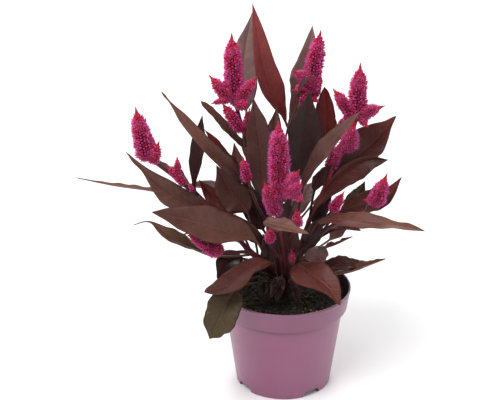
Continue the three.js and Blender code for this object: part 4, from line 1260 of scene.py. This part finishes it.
def scale_shape():
    """A closed pointed bract of the spike's bare point."""
    rings = [(0.0, 0.0, 0.0, 0, 0.2), (0.4, 0.5, 0.45, 0, 0.6), (1.0, 0.0, 0.0, 0, 1)]
    return bud_shape("scale", 6, rings, 0.0)


def add_spike(bm, spike, settings, shapes, floret, dice):
    """One spike: its axis, upright ranks of florets that stand out from it, and a point of closed scales.
    floret is the layer that holds how light a corner is painted, as shade that deepens among the florets,
    and how old its floret."""
    scale, closed, ajar, half_open, wide_open = shapes
    axis = Curve([spike.foot, spike.point])
    length = axis.length()
    full = spike.radius * MM
    tip, along, out, side = axis.frame(1, FORWARD)

    def round_axis(angle):
        return out * math.cos(angle) - side * math.sin(angle)

    def place(vert, column, row):
        below = length * (1 - row / SPIKE_ROWS)
        reach = spike_reach(below, length - below, full)
        radius = reach * lerp(0.8, settings.core, ease(0.3, 1.0, below / full))
        if row in (0, SPIKE_ROWS):
            radius = 0
        # Painted shade: the axis is painted nearly black where the florets cover it, and lighter near its
        # bare point.
        vert[floret] = (0.05 if below > full else 0.6, 0, 0)
        return tip - along * below + round_axis(TURN * column / SPIKE_SIDES) * radius

    def stand(shape, root, towards, wide, long):
        turn = towards.to_track_quat("Z", "Y").to_matrix().to_4x4()
        spin = Matrix.Rotation(dice.uniform(0, TURN), 4, "Z")
        matrix = Matrix.Translation(root) @ turn @ spin @ Matrix.Diagonal((wide, wide, long, 1))
        shape.transform(matrix)
        bm.from_mesh(shape)
        shape.transform(matrix.inverted())

    closed_skin(bm, SPIKE_SIDES, SPIKE_ROWS, place)
    ranks = 2 * max(4, round(math.pi * full * 0.9 / settings.rank_gap))
    for rank in range(ranks):
        below = full * (0.8 if rank % 2 else 0.25) + settings.floret_gap * dice.random()
        while below < length:
            u, above = below / full, length - below
            abreast = ranks if u > 0.85 else ranks / 2
            reach = spike_reach(below, above, full)
            lean = lerp(LEAN_AT_POINT, LEAN_ABOUT, ease(0.5, 2.4, u))
            lean = lerp(LEAN_AT_FOOT, lean, ease(-0.3, 1.3, above / full)) + dice.uniform(-0.12, 0.12)
            angle = TURN * rank / ranks + SPIKE_TWIST * below / length + dice.uniform(-0.06, 0.06)
            outward = round_axis(angle)
            inner = reach * settings.core * 0.8
            wide = min(settings.floret_width, TURN * reach / abreast * 1.2)
            stick_out = max(0.0008, reach - inner)
            long = stick_out / max(0.35, math.sin(lean)) * dice.uniform(0.76, 1.2)
            root_below = below + stick_out / math.tan(max(lean, 0.3))
            root = tip - along * min(root_below, length) + outward * inner
            towards = outward * math.sin(lean) + along * math.cos(lean)
            if u < lerp(0.95, 0.6, spike.opened):
                shape = closed
            elif above < 0.8 * full or dice.random() < 0.8 * spike.opened:
                shape = wide_open
            else:
                shape = dice.choice((closed, ajar, half_open, half_open))
            stand(shape, root, towards, wide, max(0.0016, long))
            below += settings.floret_gap * lerp(0.6, 1, reach / full)
    below = 0.0
    turn = 0.0
    while below < full * BARE_POINT:
        reach = spike_reach(below, length - below, full)
        for k in range(6):
            outward = round_axis(TURN * k / 6 + turn)
            towards = (along + outward * 0.25).normalized()
            root = tip - along * (below + 0.0014) + outward * reach * 0.75
            stand(scale, root, towards, max(0.0005, reach * 0.8), SCALE_LENGTH)
        below += SCALE_RISE
        turn += SCALE_TURN


def tepal_material(name, settings, heart):
    """Papery tepals with a silky sheen and painted shade that darkens them towards the foot. Closed ones are
    crimson with a rosy point, and open ones are lilac pink outside and crimson inside. heart is for their
    inner side. The floret attribute holds the painted lightness along the tepal, which also sets where it
    turns pink, and the floret's age."""
    material, nodes, shader, place = new_material(
        name, 0.5, Specular_IOR_Level=0.25, Sheen_Weight=0.1 if heart else 0.45, Sheen_Roughness=0.4,
        Sheen_Tint=colour("ff62e0"), Subsurface_Weight=0.0 if heart else 0.4,
        Subsurface_Radius=(1.0, 0.3, 0.6), Subsurface_Scale=0.0009,
    )
    floret = nodes.attribute("floret", "Vector")
    light, age, _ = nodes.add("ShaderNodeSeparateXYZ", {0: floret}).outputs
    patches, grain = mottle(nodes, place, 210.0, 1800.0)
    if heart:
        rosy = nodes.times(nodes.between(light, 0.6, 1.0), nodes.between(age, 0.8, 1.0, 0.1, 0.8))
    else:
        grown = nodes.times(nodes.between(light, 0.4, 0.9), nodes.between(age, 0.15, 0.65))
        rosy = nodes.math("MAXIMUM", grown, nodes.between(light, 0.85, 1.0, 0.0, 0.5))
        rosy = nodes.times(rosy, nodes.between(patches, 0.0, 1.0, 0.7, 1.0))
    # Painted shade: the colour darkens to near black towards each floret's foot and heart, where the florets
    # crowd.
    base = nodes.mix(light, colour("3a0710"), nodes.mix(rosy, tuple(settings.crimson), tuple(settings.pink)))
    grainy = nodes.mix(1.0, base, (0.6, 0.4, 0.5, 1), "MULTIPLY")
    coat(nodes, shader, nodes.mix(nodes.times(grain, 0.15), base, grainy), grain, 0.3, 0.0002)
    return material


class CELOSIA_OT_plumes(bpy.types.Operator):
    """Builds the plumes, each with its stalk and its spikes of florets"""

    bl_idname = "celosia.plumes"
    bl_label = "Plumes"

    def execute(self, context):
        settings = context.scene.celosia_plume
        stems = context.scene.celosia_leaf
        dice = random.Random(settings.seed)
        shapes = [
            scale_shape(),
            closed_floret_shape(),
            floret_shape(0.40, 0.46, 0.42, 0.6),
            floret_shape(0.36, 0.50, 0.62, 0.85),
            floret_shape(0.34, 0.50, 0.85, 1.0),
        ]
        materials = [
            tepal_material("tepal outside", settings, False),
            bpy.data.materials["red stem"],
            tepal_material("tepal inside", settings, True),
        ]
        for shoot in SHOOTS.values():
            main = Curve(shoot.stem)
            for name, row in shoot.plumes.items():
                carrier = side_curve(main, row)
                radius = shoot.radius * MM * (STEM_END if row.at is None else SIDE_STEM)
                start = carrier.point(1) / MM
                bm = bmesh.new()
                layers = skin_layers(bm)
                floret = bm.verts.layers.float_vector.new("floret")
                add_stem(bm, Curve([start, *row.stalk]), lambda t: radius, layers, stems, (), row.rosy)
                for spike in row.spikes:
                    add_spike(bm, spike, settings, shapes, floret, dice)
                finish_piece(f"spikes_{name}", bm, f"plume_{name}", materials)
        for shape in shapes:
            bpy.data.meshes.remove(shape)
        return {"FINISHED"}


# ---- stage --------------------------------------------------------------------------------------------


FLOOR_RADIUS = 6
MIDDLE = (-0.02, 0, 0.17)  # the middle of the plant, which the lights shine on
LIGHTS = [  # name, place, aim, diameter in metres and power in watts
    ("key", (-0.55, -0.75, 1.6), MIDDLE, 1.1, 24),
    ("fill", (1.3, -0.8, 0.9), MIDDLE, 1.2, 3),
    ("back", (0.2, 1.4, 1.2), MIDDLE, 1.0, 8),
    ("far floor", (0, 3.4, 1.8), (0, 3.4, 0), 3.0, 60),
]


class StageSettings(bpy.types.PropertyGroup):
    elevation: FloatProperty(
        name="Elevation", description="How steeply the camera looks down", default=math.radians(22.3),
        subtype="ANGLE",
    )
    distance: length_setting("Distance", "From the camera to the point that it looks at", 1.0)
    target: FloatVectorProperty(
        name="Target", description="The point that the camera looks at", subtype="XYZ", unit="LENGTH",
        default=(-0.0308, 0.0, 0.1762),
    )
    lens: FloatProperty(name="Lens", description="Focal length in millimetres", default=82.24)
    daylight: FloatProperty(name="Daylight", description="Strength of the even light all round", default=0.6)


def area_light(name, place, aim, size, power):
    light = bpy.data.lights.new(name, "AREA")
    light.shape = "DISK"
    light.size = size
    light.energy = power
    lamp = bpy.data.objects.new(name, light)
    lamp.location = place
    lamp.rotation_euler = (Vector(place) - Vector(aim)).to_track_quat("Z", "Y").to_euler()
    bpy.context.scene.collection.objects.link(lamp)


class CELOSIA_OT_stage(bpy.types.Operator):
    """Sets the pale floor, the soft studio light and the camera"""

    bl_idname = "celosia.stage"
    bl_label = "Stage"

    def execute(self, context):
        stage = context.scene.celosia_stage
        paint, nodes, shader, place = new_material("pale floor", 0.8)
        patches, _ = mottle(nodes, place, 1.5, 40.0)
        pale = nodes.mix(patches, colour("f4f4f4"), colour("f8f8f8"))
        nodes.tree.links.new(pale, shader.inputs["Base Color"])
        bm = bmesh.new()
        bmesh.ops.create_circle(bm, cap_ends=True, segments=96, radius=FLOOR_RADIUS)
        floor = as_object("floor", bm, [paint])

        world = bpy.data.worlds.new("soft daylight")
        world.use_nodes = True
        back = world.node_tree.nodes["Background"]
        back.inputs["Color"].default_value = (1.0, 1.0, 1.0, 1)
        back.inputs["Strength"].default_value = stage.daylight
        context.scene.world = world
        context.scene.view_settings.view_transform = "Standard"
        for light in LIGHTS:
            area_light(*light)

        camera = bpy.data.objects.new("camera", bpy.data.cameras.new("camera"))
        camera.data.lens = stage.lens
        camera.data.sensor_width = 36
        back_off = Vector((0, -math.cos(stage.elevation), math.sin(stage.elevation)))
        camera.location = Vector(stage.target) + back_off * stage.distance
        camera.rotation_euler = (math.pi / 2 - stage.elevation, 0, 0)
        context.scene.collection.objects.link(camera)
        context.scene.camera = camera
        return {"FINISHED"}


# ---- panel and registration ---------------------------------------------------------------------------

STEPS = (CELOSIA_OT_stage, CELOSIA_OT_pot, CELOSIA_OT_soil, CELOSIA_OT_shoots, CELOSIA_OT_plumes)
SETTINGS = {
    "celosia_stage": StageSettings,
    "celosia_pot": PotSettings,
    "celosia_soil": SoilSettings,
    "celosia_leaf": LeafSettings,
    "celosia_plume": PlumeSettings,
}


class CELOSIA_PT_panel(bpy.types.Panel):
    """Lists the sizes and colours, and the steps that build the plant"""

    bl_label = "Potted Plume Celosia"
    bl_idname = "CELOSIA_PT_panel"
    bl_space_type = "VIEW_3D"
    bl_region_type = "UI"
    bl_category = "Celosia"

    def draw(self, context):
        for name, kind in SETTINGS.items():
            box = self.layout.box()
            for label in kind.__annotations__:
                box.prop(getattr(context.scene, name), label)
        for step in STEPS:
            self.layout.operator(step.bl_idname)


CLASSES = (*SETTINGS.values(), *STEPS, CELOSIA_PT_panel)


def register():
    for item in CLASSES:
        bpy.utils.register_class(item)
    for name, kind in SETTINGS.items():
        setattr(bpy.types.Scene, name, bpy.props.PointerProperty(type=kind))


def unregister():
    for name in SETTINGS:
        delattr(bpy.types.Scene, name)
    for item in reversed(CLASSES):
        bpy.utils.unregister_class(item)


def main():
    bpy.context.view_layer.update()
    register()
    bpy.ops.celosia.stage()
    bpy.ops.celosia.pot()
    bpy.ops.celosia.soil()
    bpy.ops.celosia.shoots()
    bpy.ops.celosia.plumes()
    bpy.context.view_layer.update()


if __name__ == "__main__":
    main()
